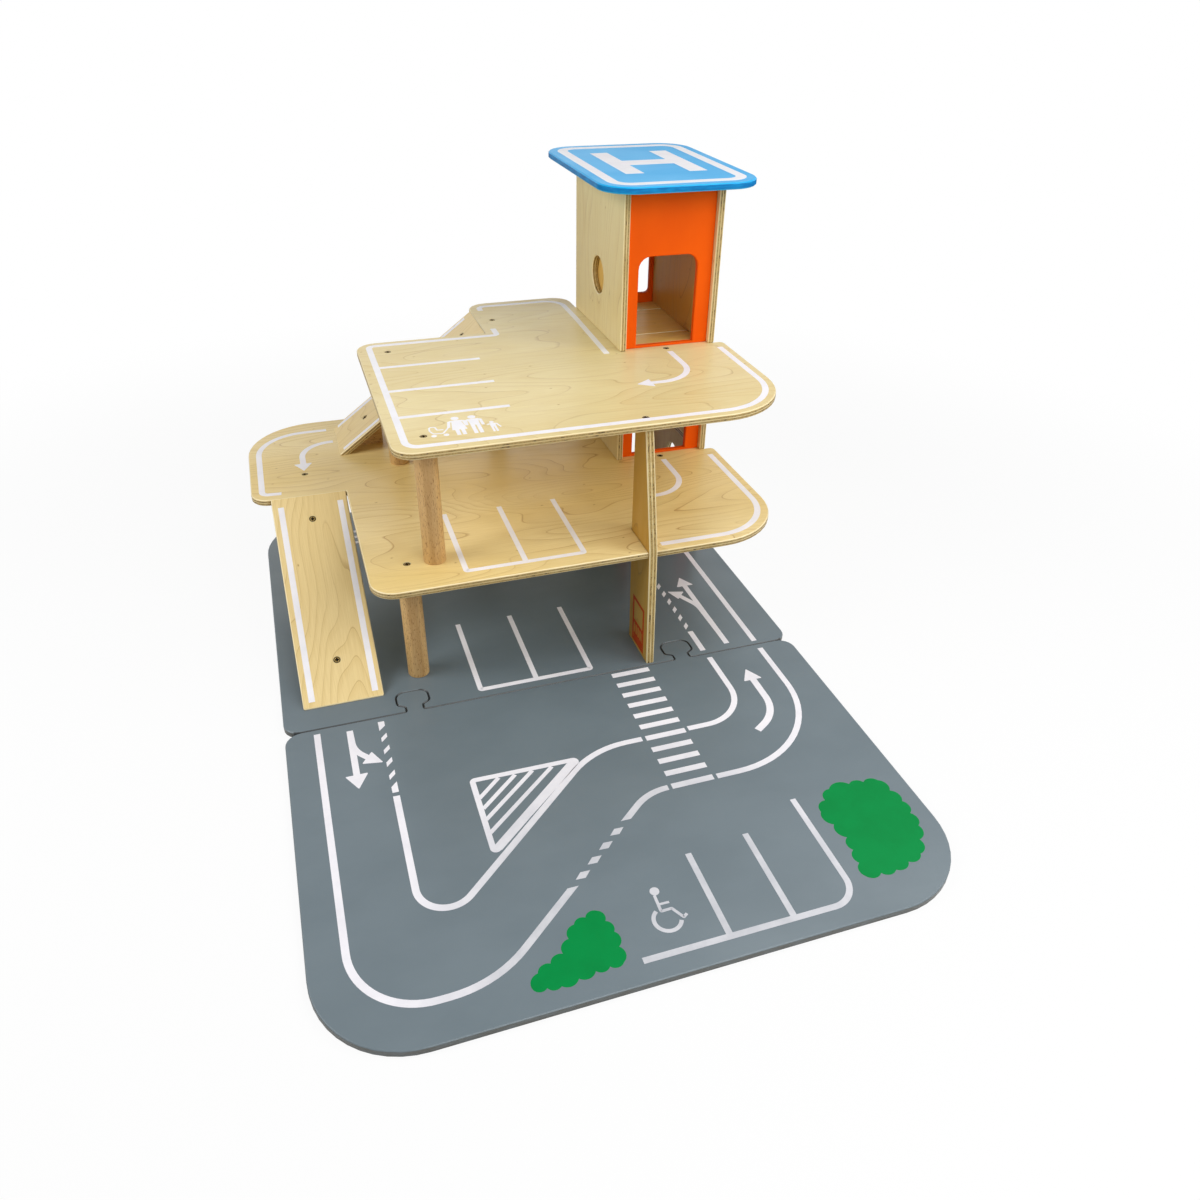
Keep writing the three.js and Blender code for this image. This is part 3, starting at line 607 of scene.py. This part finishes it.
def screw(node, out):
    """A countersunk screw with a cross recess; out is the way its head looks."""
    vertices = [vertex.co for vertex in nodes[node].data.vertices]
    top = max(co.dot(out) for co in vertices)
    length = top - min(co.dot(out) for co in vertices)
    rim = [co for co in vertices if co.dot(out) > top - SURFACE_DEPTH]
    centre = sum(rim, Vector()) / len(rim)
    shank = SCREW_SHANK / 2
    head = SCREW_HEAD / 2
    bm = bmesh.new()
    rings = lathe(bm, [
        (0, -length),
        (shank, SCREW_TIP - length),
        (shank, -SCREW_CONE),
        (head, -SCREW_RIM),
        (head - SCREW_CHAMFER, 0),
    ], SCREW_SIDES)
    opening = [bm.verts.new((x, y, 0)) for x, y in cross_points(RECESS_LENGTH, RECESS_WIDTH)]
    narrow = cross_points(RECESS_LENGTH * RECESS_TAPER, RECESS_WIDTH * RECESS_TAPER)
    floor = [bm.verts.new((x, y, -RECESS_DEPTH)) for x, y in narrow]
    count = len(opening)
    inner_edges = [bm.edges.new((opening[i], opening[(i + 1) % count])) for i in range(count)]
    outer = rings[-1]
    outer_edges = [bm.edges.get((outer[i], outer[(i + 1) % SCREW_SIDES])) for i in range(SCREW_SIDES)]
    bmesh.ops.triangle_fill(bm, edges=inner_edges + outer_edges, use_beauty=True)
    shaded_recess_walls = []
    for i in range(count):
        j = (i + 1) % count
        shaded_recess_walls.append(bm.faces.new((opening[i], floor[i], floor[j], opening[j])))
    shaded_recess_walls.append(bm.faces.new(floor))
    # The recess walls and floor and the chamfer round the head take the dark material: painted shade in the
    # recess and the countersink.
    depths = {face: abs(face.calc_center_median().z + SCREW_RIM / 2) for face in bm.faces}
    shaded_chamfer = [face for face, depth in depths.items() if depth < SCREW_RIM / 4]
    for face in shaded_recess_walls + shaded_chamfer:
        face.material_index = 1
    bmesh.ops.recalc_face_normals(bm, faces=bm.faces)
    turn = out.to_track_quat("Z", "Y").to_matrix().to_4x4()
    bmesh.ops.transform(bm, matrix=Matrix.Translation(centre) @ turn, verts=bm.verts)
    piece = new_piece(node + "_fine", bm, SCREW, RECESS_SHADE)
    smooth(piece, SCREW_SHARP_ANGLE)
    return stand_for(piece, node)


for name in list(nodes):
    if not name.endswith("_screw"):
        continue
    if name.startswith("lower_ramp"):
        screw(name, LOWER_RAMP_AXES[2])
    elif name.startswith("upper_ramp"):
        screw(name, UPPER_RAMP_AXES[2])
    elif name.endswith("foot_screw"):
        screw(name, -Z_AXIS)
    else:
        screw(name, Z_AXIS)


# Printed markings

def arc_points(corners, closed=False):
    """Points along (x, y) or (x, y, radius) corners, with an arc at each rounded one."""
    points = []
    count = len(corners)
    for index, corner in enumerate(corners):
        here = Vector(corner[:2])
        at_end = not closed and index in (0, count - 1)
        if len(corner) < 3 or at_end:
            points.append(here)
            continue
        radius = corner[2]
        before = (Vector(corners[index - 1][:2]) - here).normalized()
        after = (Vector(corners[(index + 1) % count][:2]) - here).normalized()
        half = before.angle(after) / 2
        start = here + before * (radius / math.tan(half))
        centre = here + (before + after).normalized() * (radius / math.sin(half))
        sweep = math.pi - 2 * half
        side = -1 if before.x * after.y - before.y * after.x > 0 else 1
        steps = max(2, math.ceil(sweep / ARC_STEP))
        for i in range(steps + 1):
            spin = Matrix.Rotation(side * sweep * i / steps, 2)
            points.append(centre + spin @ (start - centre))
    return points


def left_of(direction):
    return Vector((-direction.y, direction.x))


def edge_offset(points, index, width, closed, end_run):
    """From a line's point to its left edge, mitred inside and cut along end_run at an end."""
    count = len(points)
    here = points[index]
    into = out = None
    if closed or index > 0:
        into = (here - points[index - 1]).normalized()
    if closed or index < count - 1:
        out = (points[(index + 1) % count] - here).normalized()
    direction = out if into is None else into
    normal = left_of(direction)
    if into is not None and out is not None:
        across = (left_of(into) + left_of(out)).normalized()
    else:
        across = Vector(end_run).normalized() if end_run else normal
    return across * (width / 2 / across.dot(normal))


class Surface:
    """A flat place for print: a point in millimetres (a, b) on it, raised by a height in metres."""

    def __init__(self, origin, first, second, normal):
        self.origin = origin
        self.first = first
        self.second = second
        self.normal = normal

    def at(self, point, height):
        return self.origin + self.first * point[0] * MM + self.second * point[1] * MM + self.normal * height


def level(height):
    """A horizontal surface, measured from the base's front left corner."""
    return Surface(Vector((base_low.x, base_low.y, height)), X_AXIS, Y_AXIS, Z_AXIS)


class Print:
    """Closed slabs of ink, all one piece, on a node's top or on another surface of it."""

    def __init__(self, name, node, material, slot=None, surface=None):
        self.bm = bmesh.new()
        self.name = name
        self.node = node
        self.surface = surface or level(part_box(node)[1].z)
        self.material = material
        self.slot = slot

    def slab(self, points, faces, layer=0):
        """Ink over flat faces. Strokes that cross lie on layers a hair apart."""
        top = PRINT_HEIGHT - layer * PRINT_STEP
        upper = [self.bm.verts.new(self.surface.at(p, top)) for p in points]
        lower = [self.bm.verts.new(self.surface.at(p, -PRINT_SINK)) for p in points]
        ways = {(face[i - 1], face[i]) for face in faces for i in range(len(face))}
        for face in faces:
            self.bm.faces.new([upper[i] for i in face])
            self.bm.faces.new([lower[i] for i in reversed(face)])
        for a, b in sorted(ways):
            if (b, a) not in ways:
                self.bm.faces.new((lower[a], lower[b], upper[b], upper[a]))

    def line(self, corners, width=ROAD_WIDTH, start_run=None, end_run=None, closed=False, layer=0):
        """A stroke of one width. Its ends are square, or cut along the runs that are given."""
        points = arc_points(corners, closed)
        count = len(points)
        edges = []
        for i in range(count):
            run = start_run if i == 0 else end_run
            offset = edge_offset(points, i, width, closed, run)
            edges += [points[i] - offset, points[i] + offset]
        pairs = [(i, (i + 1) % count) for i in range(count if closed else count - 1)]
        self.slab(edges, [(2 * i, 2 * j, 2 * j + 1, 2 * i + 1) for i, j in pairs], layer)

    def shape(self, corners, layer=0):
        points = arc_points(corners, closed=True)
        area = sum(a.x * b.y - a.y * b.x for a, b in zip(points, points[1:] + points[:1]))
        if area < 0:
            points.reverse()
        self.slab(points, [tuple(range(len(points)))], layer)

    def disc(self, x, y, radius, layer=0):
        turns = [2 * math.pi * i / DISC_SIDES for i in range(DISC_SIDES)]
        self.shape([(x + radius * math.cos(t), y + radius * math.sin(t)) for t in turns], layer)

    def dashes(self, corners, starts):
        """One dash's corners, repeated at each start."""
        for x, y in starts:
            self.shape([(x + dx, y + dy) for dx, dy in corners])

    def arrow_head(self, tip, direction, length=21.5, width=24):
        """A triangle with slightly softened corners."""
        way = Vector(direction).normalized()
        back = Vector(tip) - way * length
        side = left_of(way) * width / 2
        soft = 0.8
        self.shape([(*tip, soft), (*(back + side), soft), (*(back - side), soft)], layer=1)

    def finish(self):
        bmesh.ops.recalc_face_normals(self.bm, faces=self.bm.faces)
        piece = new_piece(self.name, self.bm, self.material)
        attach(piece, nodes[self.node]["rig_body"])


def scalloped(outline, bulge, lobe):
    """A bush: each side of a coarse outline becomes a row of round lobes."""
    points = []
    for index, start in enumerate(outline):
        end = Vector(outline[(index + 1) % len(outline)])
        start = Vector(start)
        count = max(1, round((end - start).length / lobe))
        chord = (end - start) / count
        half = chord.length / 2
        radius = half * (1 + bulge * bulge) / (2 * bulge)
        spread = math.asin(min(1.0, half / radius))
        outward = -left_of(chord.normalized())
        for i in range(count):
            middle = start + chord * (i + 0.5)
            centre = middle - outward * math.sqrt(max(0.0, radius * radius - half * half))
            for k in range(LOBE_STEPS):
                angle = spread * (2 * k / LOBE_STEPS - 1)
                along = chord.normalized() * math.sin(angle)
                points.append(tuple(centre + (along + outward * math.cos(angle)) * radius))
    return points


# Places and sizes that several prints share, in millimetres from the base's front left corner
ROAD_LEFT = 34.5
ROAD_RIGHT = 576
ROAD_FRONT = 38.8
ROAD_BACK = 400.5
LANE_RIGHT = 507.3
TO_FRONT = (0, -1)
TO_BACK = (0, 1)
TO_LEFT = (-1, 0)
FORK_HEAD = (20, 20)
TURN_HEAD = (19, 23.5)


def print_front_base():
    """The road over the front plate, and all that is marked on it and beside it."""
    ink = Print("front_base_road_print", "front_base_plate", ROAD_PRINT, "white_print")
    print_outer_road_lines(ink)
    print_inner_road_line(ink)
    print_crossing(ink)
    print_front_arrows(ink)
    print_island(ink)
    print_front_bays(ink)
    print_wheelchair(ink)
    ink.finish()


def print_outer_road_lines(ink):
    """Down the left side, round the front, in dashes to the crossing, and on to the right side."""
    slope_run = (1, 0)
    ink.line([
        (ROAD_LEFT, ROAD_BACK), (ROAD_LEFT, ROAD_FRONT, 68), (152.6, ROAD_FRONT, 110), (243.4, 115.8),
    ], end_run=slope_run)
    dash = [(-8.1, -3.5), (1.6, -4), (8.3, 3.3), (-1.3, 3.7)]
    first = Vector((256.3, 126.6))
    pitch = Vector((16.1, 13.8))
    ink.dashes(dash, [first + pitch * i for i in range(4)])
    ink.line([(318.4, 179.4), (353, 208.7, 60), (375.8, 208.7)], start_run=slope_run)
    ink.line([(431.5, 208.6), (ROAD_RIGHT, 208.6, 118), (ROAD_RIGHT, ROAD_BACK - 1)])
    ink.line([(431.1, 287.3), (LANE_RIGHT, 287.3, 52), (LANE_RIGHT, ROAD_BACK)])


def print_inner_road_line(ink):
    """Round the inside of the bend to the crossing, with the slanted dashes that lead to it."""
    left, right = 101, 107.6
    ink.line([(104.2, 281.3), (103, 92.1, 28.5), (317.8, 286.4, 100), (375.6, 286.4)])
    ink.shape([(left, 400.8), (left, 385.8), (108, 393), (108, 400.8)])
    dash = [(-3.4, -7), (3.4, 0.2), (3.4, 7), (-3.4, -0.2)]
    first_y, pitch = 373.7, 20.15
    ink.dashes(dash, [(104.5, first_y - pitch * i) for i in range(4)])
    ink.shape([(left, 286.6), (right, 286.6), (right, 302), (left, 295.2)])


def print_crossing(ink):
    """The pedestrian crossing: eleven bars."""
    left, right = 380, 427.3
    back, pitch = 401, 19.2
    bar_width = 7.5
    for i in range(11):
        y = back - pitch * i
        ink.line([(left, y), (right, y)], bar_width)


def print_front_arrows(ink):
    """A forked arrow on the left and a curved one on the right."""
    ink.line([(69.4, 395.5), (69, 321)])
    ink.arrow_head((69, 302.5), TO_FRONT)
    ink.line([(69.4, 395), (70.2, 362, 34), (88, 342)], layer=2)
    ink.arrow_head((98.3, 334.9), (0.72, -0.54), *FORK_HEAD)
    curved_width = 8.3
    ink.line([(505.4, 261.5), (540, 284, 52), (540.2, 347)], curved_width)
    ink.arrow_head((540, 366), TO_BACK, 21, 23.5)


def print_island(ink):
    """A hatched triangle, with one side thicker."""
    rim_width, thick_width, hatch_width = 6, 9.5, 4.6
    overlap = 5
    ink.line([(182.8, 279.3, 3), (300.3, 277.6, 3), (183, 177.2, 3)], rim_width, closed=True)
    ink.line([(187.5, 182.5), (293, 275.2)], thick_width, layer=1)
    for start, end in (
        ((188.6, 255.8), (206.4, 271.9)),
        ((189.2, 240.5), (224.1, 271.3)),
        ((188.7, 225), (243, 271.8)),
        ((188.7, 206.8), (264.3, 271.3)),
    ):
        way = (Vector(end) - Vector(start)).normalized() * overlap
        ink.line([tuple(Vector(start) - way), tuple(Vector(end) + way)], hatch_width, layer=2)


def print_front_bays(ink):
    """Three parking bays, open at the back."""
    front, right = 22, 492.5
    ink.line([(278, front), (right, front, 26), (right, 154.5)], BAY_WIDTH)
    for x, back in ((361.3, 120.6), (425.2, 126.8)):
        ink.line([(x, front + 2), (x, back)], BAY_WIDTH, layer=1)


def print_wheelchair(ink):
    """The common sign for a wider bay: a seated figure over an open wheel."""
    body_width, arm_width, wheel_width = 2.9, 2.5, 3.9
    ink.disc(314, 88.3, 4.6)
    ink.line([
        (312.2, 84), (311.8, 65.6, 0.8), (322.3, 65.8, 0.8), (329.3, 53.6, 0.5), (333.4, 56.4),
    ], body_width, layer=1)
    ink.line([(312, 73.3), (322.6, 73.1)], arm_width, layer=2)
    centre, radius = Vector((314.3, 56)), 12.7
    start_angle, sweep, steps = 123, 215, 30
    turns = [math.radians(start_angle + sweep * i / steps) for i in range(steps + 1)]
    wheel = [tuple(centre + Vector((math.cos(t), math.sin(t))) * radius) for t in turns]
    ink.line(wheel, wheel_width)


def print_bushes():
    """Two green bushes on the front plate."""
    ink = Print("front_base_bush_print", "front_base_plate", GREEN_PRINT)
    small = [
        (180, 24), (204, 20), (236, 25), (262, 26), (264, 58), (256, 84), (232, 76), (214, 50), (188, 38),
    ]
    large = [
        (512, 44), (544, 42), (578, 52), (597, 84), (600, 118),
        (592, 152), (560, 156), (536, 156), (512, 130), (520, 92),
    ]
    bulge_share = 0.5
    for outline, lobe in ((small, 16), (large, 18)):
        ink.shape(scalloped(outline, bulge_share, lobe))
    ink.finish()


def print_bay_pair(ink, left, middle, right, front, back, lap):
    """Two parking bays, open at the back. The line between them starts a lap behind the front one."""
    corner_radius = 2
    ink.line([
        (left, back), (left, front, corner_radius), (right, front, corner_radius), (right, back),
    ], BAY_WIDTH)
    ink.line([(middle, front + lap), (middle, back)], BAY_WIDTH, layer=1)


def print_rear_base():
    """The bays, the road and its forked arrow behind the seam."""
    ink = Print("rear_base_print", "rear_base_plate", ROAD_PRINT, "white_print")
    print_bay_pair(ink, left=224, middle=292, right=360, front=423, back=560, lap=1)
    ink.line([(ROAD_RIGHT, 642), (ROAD_RIGHT, 415.5)])
    dash = [(-3, -7.5), (3, -0.5), (3, 7.5), (-3, 0.5)]
    first_y, pitch = 567.5, 19.4
    ink.dashes(dash, [(505, first_y - pitch * i) for i in range(6)])
    ink.line([(505.6, 458), (505.6, 416)])

    # Forked arrow
    ink.line([(540.3, 421), (539.8, 562)])
    ink.arrow_head((540.3, 580), TO_BACK)
    ink.line([(540.3, 440), (538.5, 510, 40), (522, 541)], layer=2)
    ink.arrow_head((511.5, 552), (-0.72, 0.66), *FORK_HEAD)

    # Three dashes behind the lower ramp
    ramp_dash_width = 6
    for y in (838, 822, 806):
        ink.line([(122, y), (130, y)], ramp_dash_width)
    ink.finish()


def print_lower_deck():
    """Two bays, the right edge line, the turn at the lift and the turn on the landing."""
    ink = Print("lower_deck_print", "lower_deck", WHITE_PRINT, "white_print")
    edge_width, landing_width = 7.6, 7.2
    print_bay_pair(ink, left=221, middle=289, right=357.5, front=444.5, back=578, lap=1.5)
    ink.line([(600, 640.5), (600, 436.5, 74), (448.3, 436.5)], edge_width)
    print_turn_arrow(ink)
    ink.line([(37.2, 688.2), (14.2, 690, 8), (14.2, 866.5, 62), (107.5, 866.5)], landing_width)
    ink.line([(113.1, 825.3), (69.5, 825.3, 40), (69.2, 762)], edge_width)
    ink.arrow_head((68.9, 744.7), TO_FRONT, 21.5, 23.5)
    ink.finish()


def print_turn_arrow(ink):
    """From the lift's door round to the left."""
    ink.line([(532.9, 644), (532.9, 550.5, 46), (470, 550.5)], DECK_WIDTH)
    ink.arrow_head((454.5, 550.8), TO_LEFT, *TURN_HEAD)


def print_upper_deck():
    """The edge lines, three bay lines, the turn at the lift and the family sign."""
    ink = Print("upper_deck_print", "upper_deck", WHITE_PRINT, "white_print")
    ink.line([
        (337.6, 788), (337.6, 762, 6), (171, 762, 8), (171, 454, 14), (600.8, 452, 76), (600.8, 641.6),
    ], DECK_WIDTH)
    ink.line([(338.4, 866.3), (338.4, 884, 10), (457, 884, 26), (457, 800), (453.4, 657)], DECK_WIDTH)
    for y in (684, 607, 531):
        ink.line([(172, y), (297, y)], BAY_WIDTH, layer=1)
    print_turn_arrow(ink)
    print_family(ink)
    ink.finish()


def print_family(ink):
    """The common sign for families: a pram, two grown-ups and a child, hand in hand."""
    pram_width, wheel_radius = 1.8, 2.9
    ink.line([
        (214.9, 487.6), (208.3, 488.6), (207, 496.6, 2), (200.8, 497, 3), (200.2, 487, 3), (203, 480, 3),
        (213, 478.8, 3), (220.4, 491),
    ], pram_width)
    ink.disc(202.6, 474.6, wheel_radius)
    ink.disc(215.5, 474.4, wheel_radius)
    print_person(ink, (231.6, 470.5), 47, hands=((221, 491), (240.5, 492)), skirt=True)
    print_person(ink, (249.7, 470), 46.5, hands=((241, 492.5), (258, 489.5)), arm_layer=5)
    print_person(ink, (267.4, 469), 26.5, hands=((261.5, 487.5), (274.8, 479)), arm_layer=6)


# A figure's sizes as shares of its height
HEAD_SHARE = 0.093
SHOULDER_SHARE = 0.8
HIP_SHARE = 0.45
HEM_SHARE = 0.28
LEG_SHARE = 0.1
ARM_SHARE = 0.07


def print_person(ink, feet, height, hands, skirt=False, arm_layer=4):
    """A plain standing figure: a head, a body, two arms and two legs."""
    x, y = feet
    head = height * HEAD_SHARE
    shoulder = y + height * SHOULDER_SHARE
    hip = y + height * HIP_SHARE
    leg = height * LEG_SHARE
    arm = height * ARM_SHARE
    ink.disc(x, y + height - head, head)
    if skirt:
        low, half_low, half_high = y + height * HEM_SHARE, leg * 1.75, leg
    else:
        low, half_low, half_high = hip, leg, leg * 1.3
    ink.shape([
        (x - half_low, low), (x + half_low, low), (x + half_high, shoulder), (x - half_high, shoulder),
    ], layer=1)
    for side, hand in zip((-1, 1), hands):
        foot = x + side * leg * 0.65
        ink.line([(foot, hip + leg), (foot, y)], leg * 0.9, layer=2)
        start = (x + side * leg, shoulder - arm / 2)
        ink.line([start, (start[0] + side * arm, shoulder - arm), hand], arm, layer=arm_layer)


def print_ramp(name, axes, insets):
    """Two white lines along a ramp, set in from its two sides."""
    low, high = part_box(name)
    along, _, normal = axes
    rising = Vector((along.x, along.y, 0)).normalized()
    side = X_AXIS if rising.y > 0.5 else Y_AXIS
    on_top = ramp_top(name).center
    drop = Vector((low.x, low.y, 0)) - on_top
    corner = Vector((low.x, low.y, -(drop.x * normal.x + drop.y * normal.y) / normal.z + on_top.z))
    surface = Surface(corner, along, side, normal)
    width = (high - low).dot(side) / MM
    length = (high - low).dot(rising) / along.dot(rising) / MM
    ink = Print(name + "_print", name, WHITE_PRINT, "white_print", surface)
    foot_inset, head_inset = 7, 12
    for inset in (insets[0], width - insets[1]):
        ink.line([(foot_inset, inset), (length - head_inset, inset)])
    ink.finish()


def print_helipad():
    """A white band round the roof and the common landing sign inside it."""
    surface = level(roof_high.z - PRINT_HEIGHT)
    ink = Print("helipad_print", "helipad_roof", WHITE_PRINT, "white_print", surface)
    left = (roof_low.x - base_low.x) / MM
    right = (roof_high.x - base_low.x) / MM
    front = (roof_low.y - base_low.y) / MM
    back = (roof_high.y - base_low.y) / MM
    band_inset, band_width, corner_radius = 12, 13, 28
    inset = band_inset + band_width / 2
    inner_radius = corner_radius - band_width / 2
    ink.line([
        (left + inset, front + inset, inner_radius),
        (right - inset, front + inset, inner_radius),
        (right - inset, back - inset, inner_radius),
        (left + inset, back - inset, inner_radius),
    ], band_width, closed=True)
    sign_left, sign_right = 495, 576
    sign_front, sign_back = 689.5, 827
    bar_y, bar_width, stroke_width = 755, 29, 23
    for x in (sign_left, sign_right):
        ink.line([(x, sign_front), (x, sign_back)], stroke_width)
    ink.line([(sign_left, bar_y), (sign_right, bar_y)], bar_width, layer=1)
    ink.finish()


def print_fin_sign():
    """A plain ticket machine: a frame with a window over a hatched slot."""
    foot = Vector((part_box("front_fin")[0].x, base_low.y, 0))
    surface = Surface(foot, Y_AXIS, Z_AXIS, -X_AXIS)
    ink = Print("fin_sign_print", "front_fin", ORANGE_PRINT, "orange_paint", surface)
    frame_width, hatch_width = 4.5, 3
    sill = 42
    ink.line([(427, 15), (461, 15), (463, 75), (429, 74)], frame_width, closed=True)
    ink.line([(428, sill), (462, sill)], frame_width, layer=1)
    for i in range(4):
        ink.line([(434 + 7 * i, sill), (432 + 7 * i, 24)], hatch_width, layer=2)
    ink.shape([(430, 17), (458, 17), (458, 26), (430, 26)], layer=3)
    ink.finish()


print_front_base()
print_bushes()
print_rear_base()
print_lower_deck()
print_upper_deck()
print_ramp("lower_ramp", LOWER_RAMP_AXES, (10.5, 9))
print_ramp("upper_ramp", UPPER_RAMP_AXES, (7.5, 7.5))
print_helipad()
print_fin_sign()


# Stage

FLOOR_SIZE = 40.0
FLOOR_FADE = (0.7, 1.5)
FLOOR_WHITE_SHARES = (0.92, 1.0)
FLOOR_DROP = 0.05 * MM
SHADE_DROP = 0.02 * MM
SHADE_INSET = 30 * MM
SHADE_REACH = 60 * MM
AMBIENT = 0.05
LAMP_DISTANCE = 1.5
LAMP_SIZE = 0.9
LAMP_AIM = Vector((0, 0, 0.15))

# Each lamp's azimuth and elevation in degrees, and its watts. Azimuth 0 is in front and 90 is on the right.
LAMPS = {
    "left_lamp": (-90, 35, 13.5),
    "front_lamp": (10, 35, 11),
    "right_lamp": (60, 35, 9),
    "high_lamp": (90, 60, 5.5),
    "back_lamp": (180, 12, 1.2),
}

# The photograph's own view, found from the object's known straight edges
CAMERA_LENS = 28.74
CAMERA_SENSOR = 36
CAMERA_REACH = 50
CAMERA_PLACE = (-0.2399, -0.8959, 0.7325)
CAMERA_HEADING = math.radians(-19.051)
CAMERA_TILT = math.radians(55.749)
CAMERA_ROLL = math.radians(1.179)


def add_floor():
    """White to the camera, but near the object it keeps the soft shadow."""
    bm = bmesh.new()
    bmesh.ops.create_grid(bm, x_segments=1, y_segments=1, size=FLOOR_SIZE / 2)
    g = Graph("pale_floor", Roughness=1.0, Specular_IOR_Level=0.0)
    g.shader.inputs["Base Color"].default_value = (0.8, 0.8, 0.8, 1)
    away = g.node("ShaderNodeVectorMath", operation="LENGTH")
    g.link(g.node("ShaderNodeTexCoord").outputs["Object"], away.inputs[0])
    white = g.spread(away.outputs["Value"], *FLOOR_FADE, *FLOOR_WHITE_SHARES)
    glow = g.node("ShaderNodeEmission")
    glow.inputs["Color"].default_value = (1, 1, 1, 1)
    glow.inputs["Strength"].default_value = 1
    blend = g.node("ShaderNodeMixShader")
    seen = g.node("ShaderNodeLightPath").outputs["Is Camera Ray"]
    g.link(g.maths("MULTIPLY", seen, white), blend.inputs[0])
    g.link(g.shader.outputs[0], blend.inputs[1])
    g.link(glow.outputs[0], blend.inputs[2])
    g.link(blend.outputs[0], g.output.inputs[0])
    floor = new_piece("floor", bm, g.material)
    floor.location.z = -FLOOR_DROP
    add_seam_shade()


def add_seam_shade():
    """A strip of plain, dark grey floor under the seam of the base, painted shade, so that no white shines
    up through it.
    """
    left, right = base_low.x + SHADE_INSET, base_high.x - SHADE_INSET
    front, back = base_high.y - SHADE_REACH, base_high.y + SHADE_INSET
    bm = bmesh.new()
    corners = [(left, front), (right, front), (right, back), (left, back)]
    bm.faces.new([bm.verts.new((x, y, -SHADE_DROP)) for x, y in corners])
    shade = Graph("shaded_floor", Roughness=1.0, Specular_IOR_Level=0.0)
    shade.shader.inputs["Base Color"].default_value = (0.2, 0.2, 0.2, 1)
    new_piece("seam_shade", bm, shade.material)


def add_world():
    """White to the camera and in reflections, and a faint fill for all else."""
    world = bpy.data.worlds.new("studio")
    bpy.context.scene.world = world
    world.use_nodes = True
    tree = world.node_tree
    tree.nodes.clear()
    soft = tree.nodes.new("ShaderNodeBackground")
    soft.inputs["Color"].default_value = (1, 1, 1, 1)
    soft.inputs["Strength"].default_value = AMBIENT
    white = tree.nodes.new("ShaderNodeBackground")
    white.inputs["Color"].default_value = (1, 1, 1, 1)
    white.inputs["Strength"].default_value = 1
    path = tree.nodes.new("ShaderNodeLightPath")
    blend = tree.nodes.new("ShaderNodeMixShader")
    output = tree.nodes.new("ShaderNodeOutputWorld")
    seen = path.outputs["Is Camera Ray"]
    for ray in ("Is Glossy Ray", "Is Transmission Ray"):
        either = tree.nodes.new("ShaderNodeMath")
        either.operation = "MAXIMUM"
        tree.links.new(seen, either.inputs[0])
        tree.links.new(path.outputs[ray], either.inputs[1])
        seen = either.outputs[0]
    tree.links.new(seen, blend.inputs[0])
    tree.links.new(soft.outputs[0], blend.inputs[1])
    tree.links.new(white.outputs[0], blend.inputs[2])
    tree.links.new(blend.outputs[0], output.inputs[0])


def add_lamp(name, azimuth, elevation, watts):
    """A soft lamp that looks at the garage."""
    light = bpy.data.lights.new(name, "AREA")
    light.shape = "SQUARE"
    light.size = LAMP_SIZE
    light.energy = watts
    lamp = bpy.data.objects.new(name, light)
    bpy.context.scene.collection.objects.link(lamp)
    swing = Matrix.Rotation(math.radians(azimuth), 3, "Z")
    turn = swing @ Matrix.Rotation(math.radians(-elevation), 3, "X")
    away = turn @ Vector((0, -LAMP_DISTANCE, 0))
    lamp.location = LAMP_AIM + away
    lamp.rotation_euler = (-away).to_track_quat("-Z", "Y").to_euler()
    lamp.visible_camera = False


def add_camera():
    data = bpy.data.cameras.new("camera")
    data.sensor_width = CAMERA_SENSOR
    data.lens = CAMERA_LENS
    data.clip_end = CAMERA_REACH
    camera = bpy.data.objects.new("camera", data)
    bpy.context.scene.collection.objects.link(camera)
    turn = Matrix.Rotation(CAMERA_HEADING, 4, "Z") @ Matrix.Rotation(CAMERA_TILT, 4, "X")
    turn = turn @ Matrix.Rotation(CAMERA_ROLL, 4, "Z")
    camera.matrix_world = Matrix.Translation(CAMERA_PLACE) @ turn
    bpy.context.scene.camera = camera


add_floor()
add_world()
for name, (azimuth, elevation, watts) in LAMPS.items():
    add_lamp(name, azimuth, elevation, watts)
add_camera()
bpy.context.scene.view_settings.view_transform = "Standard"
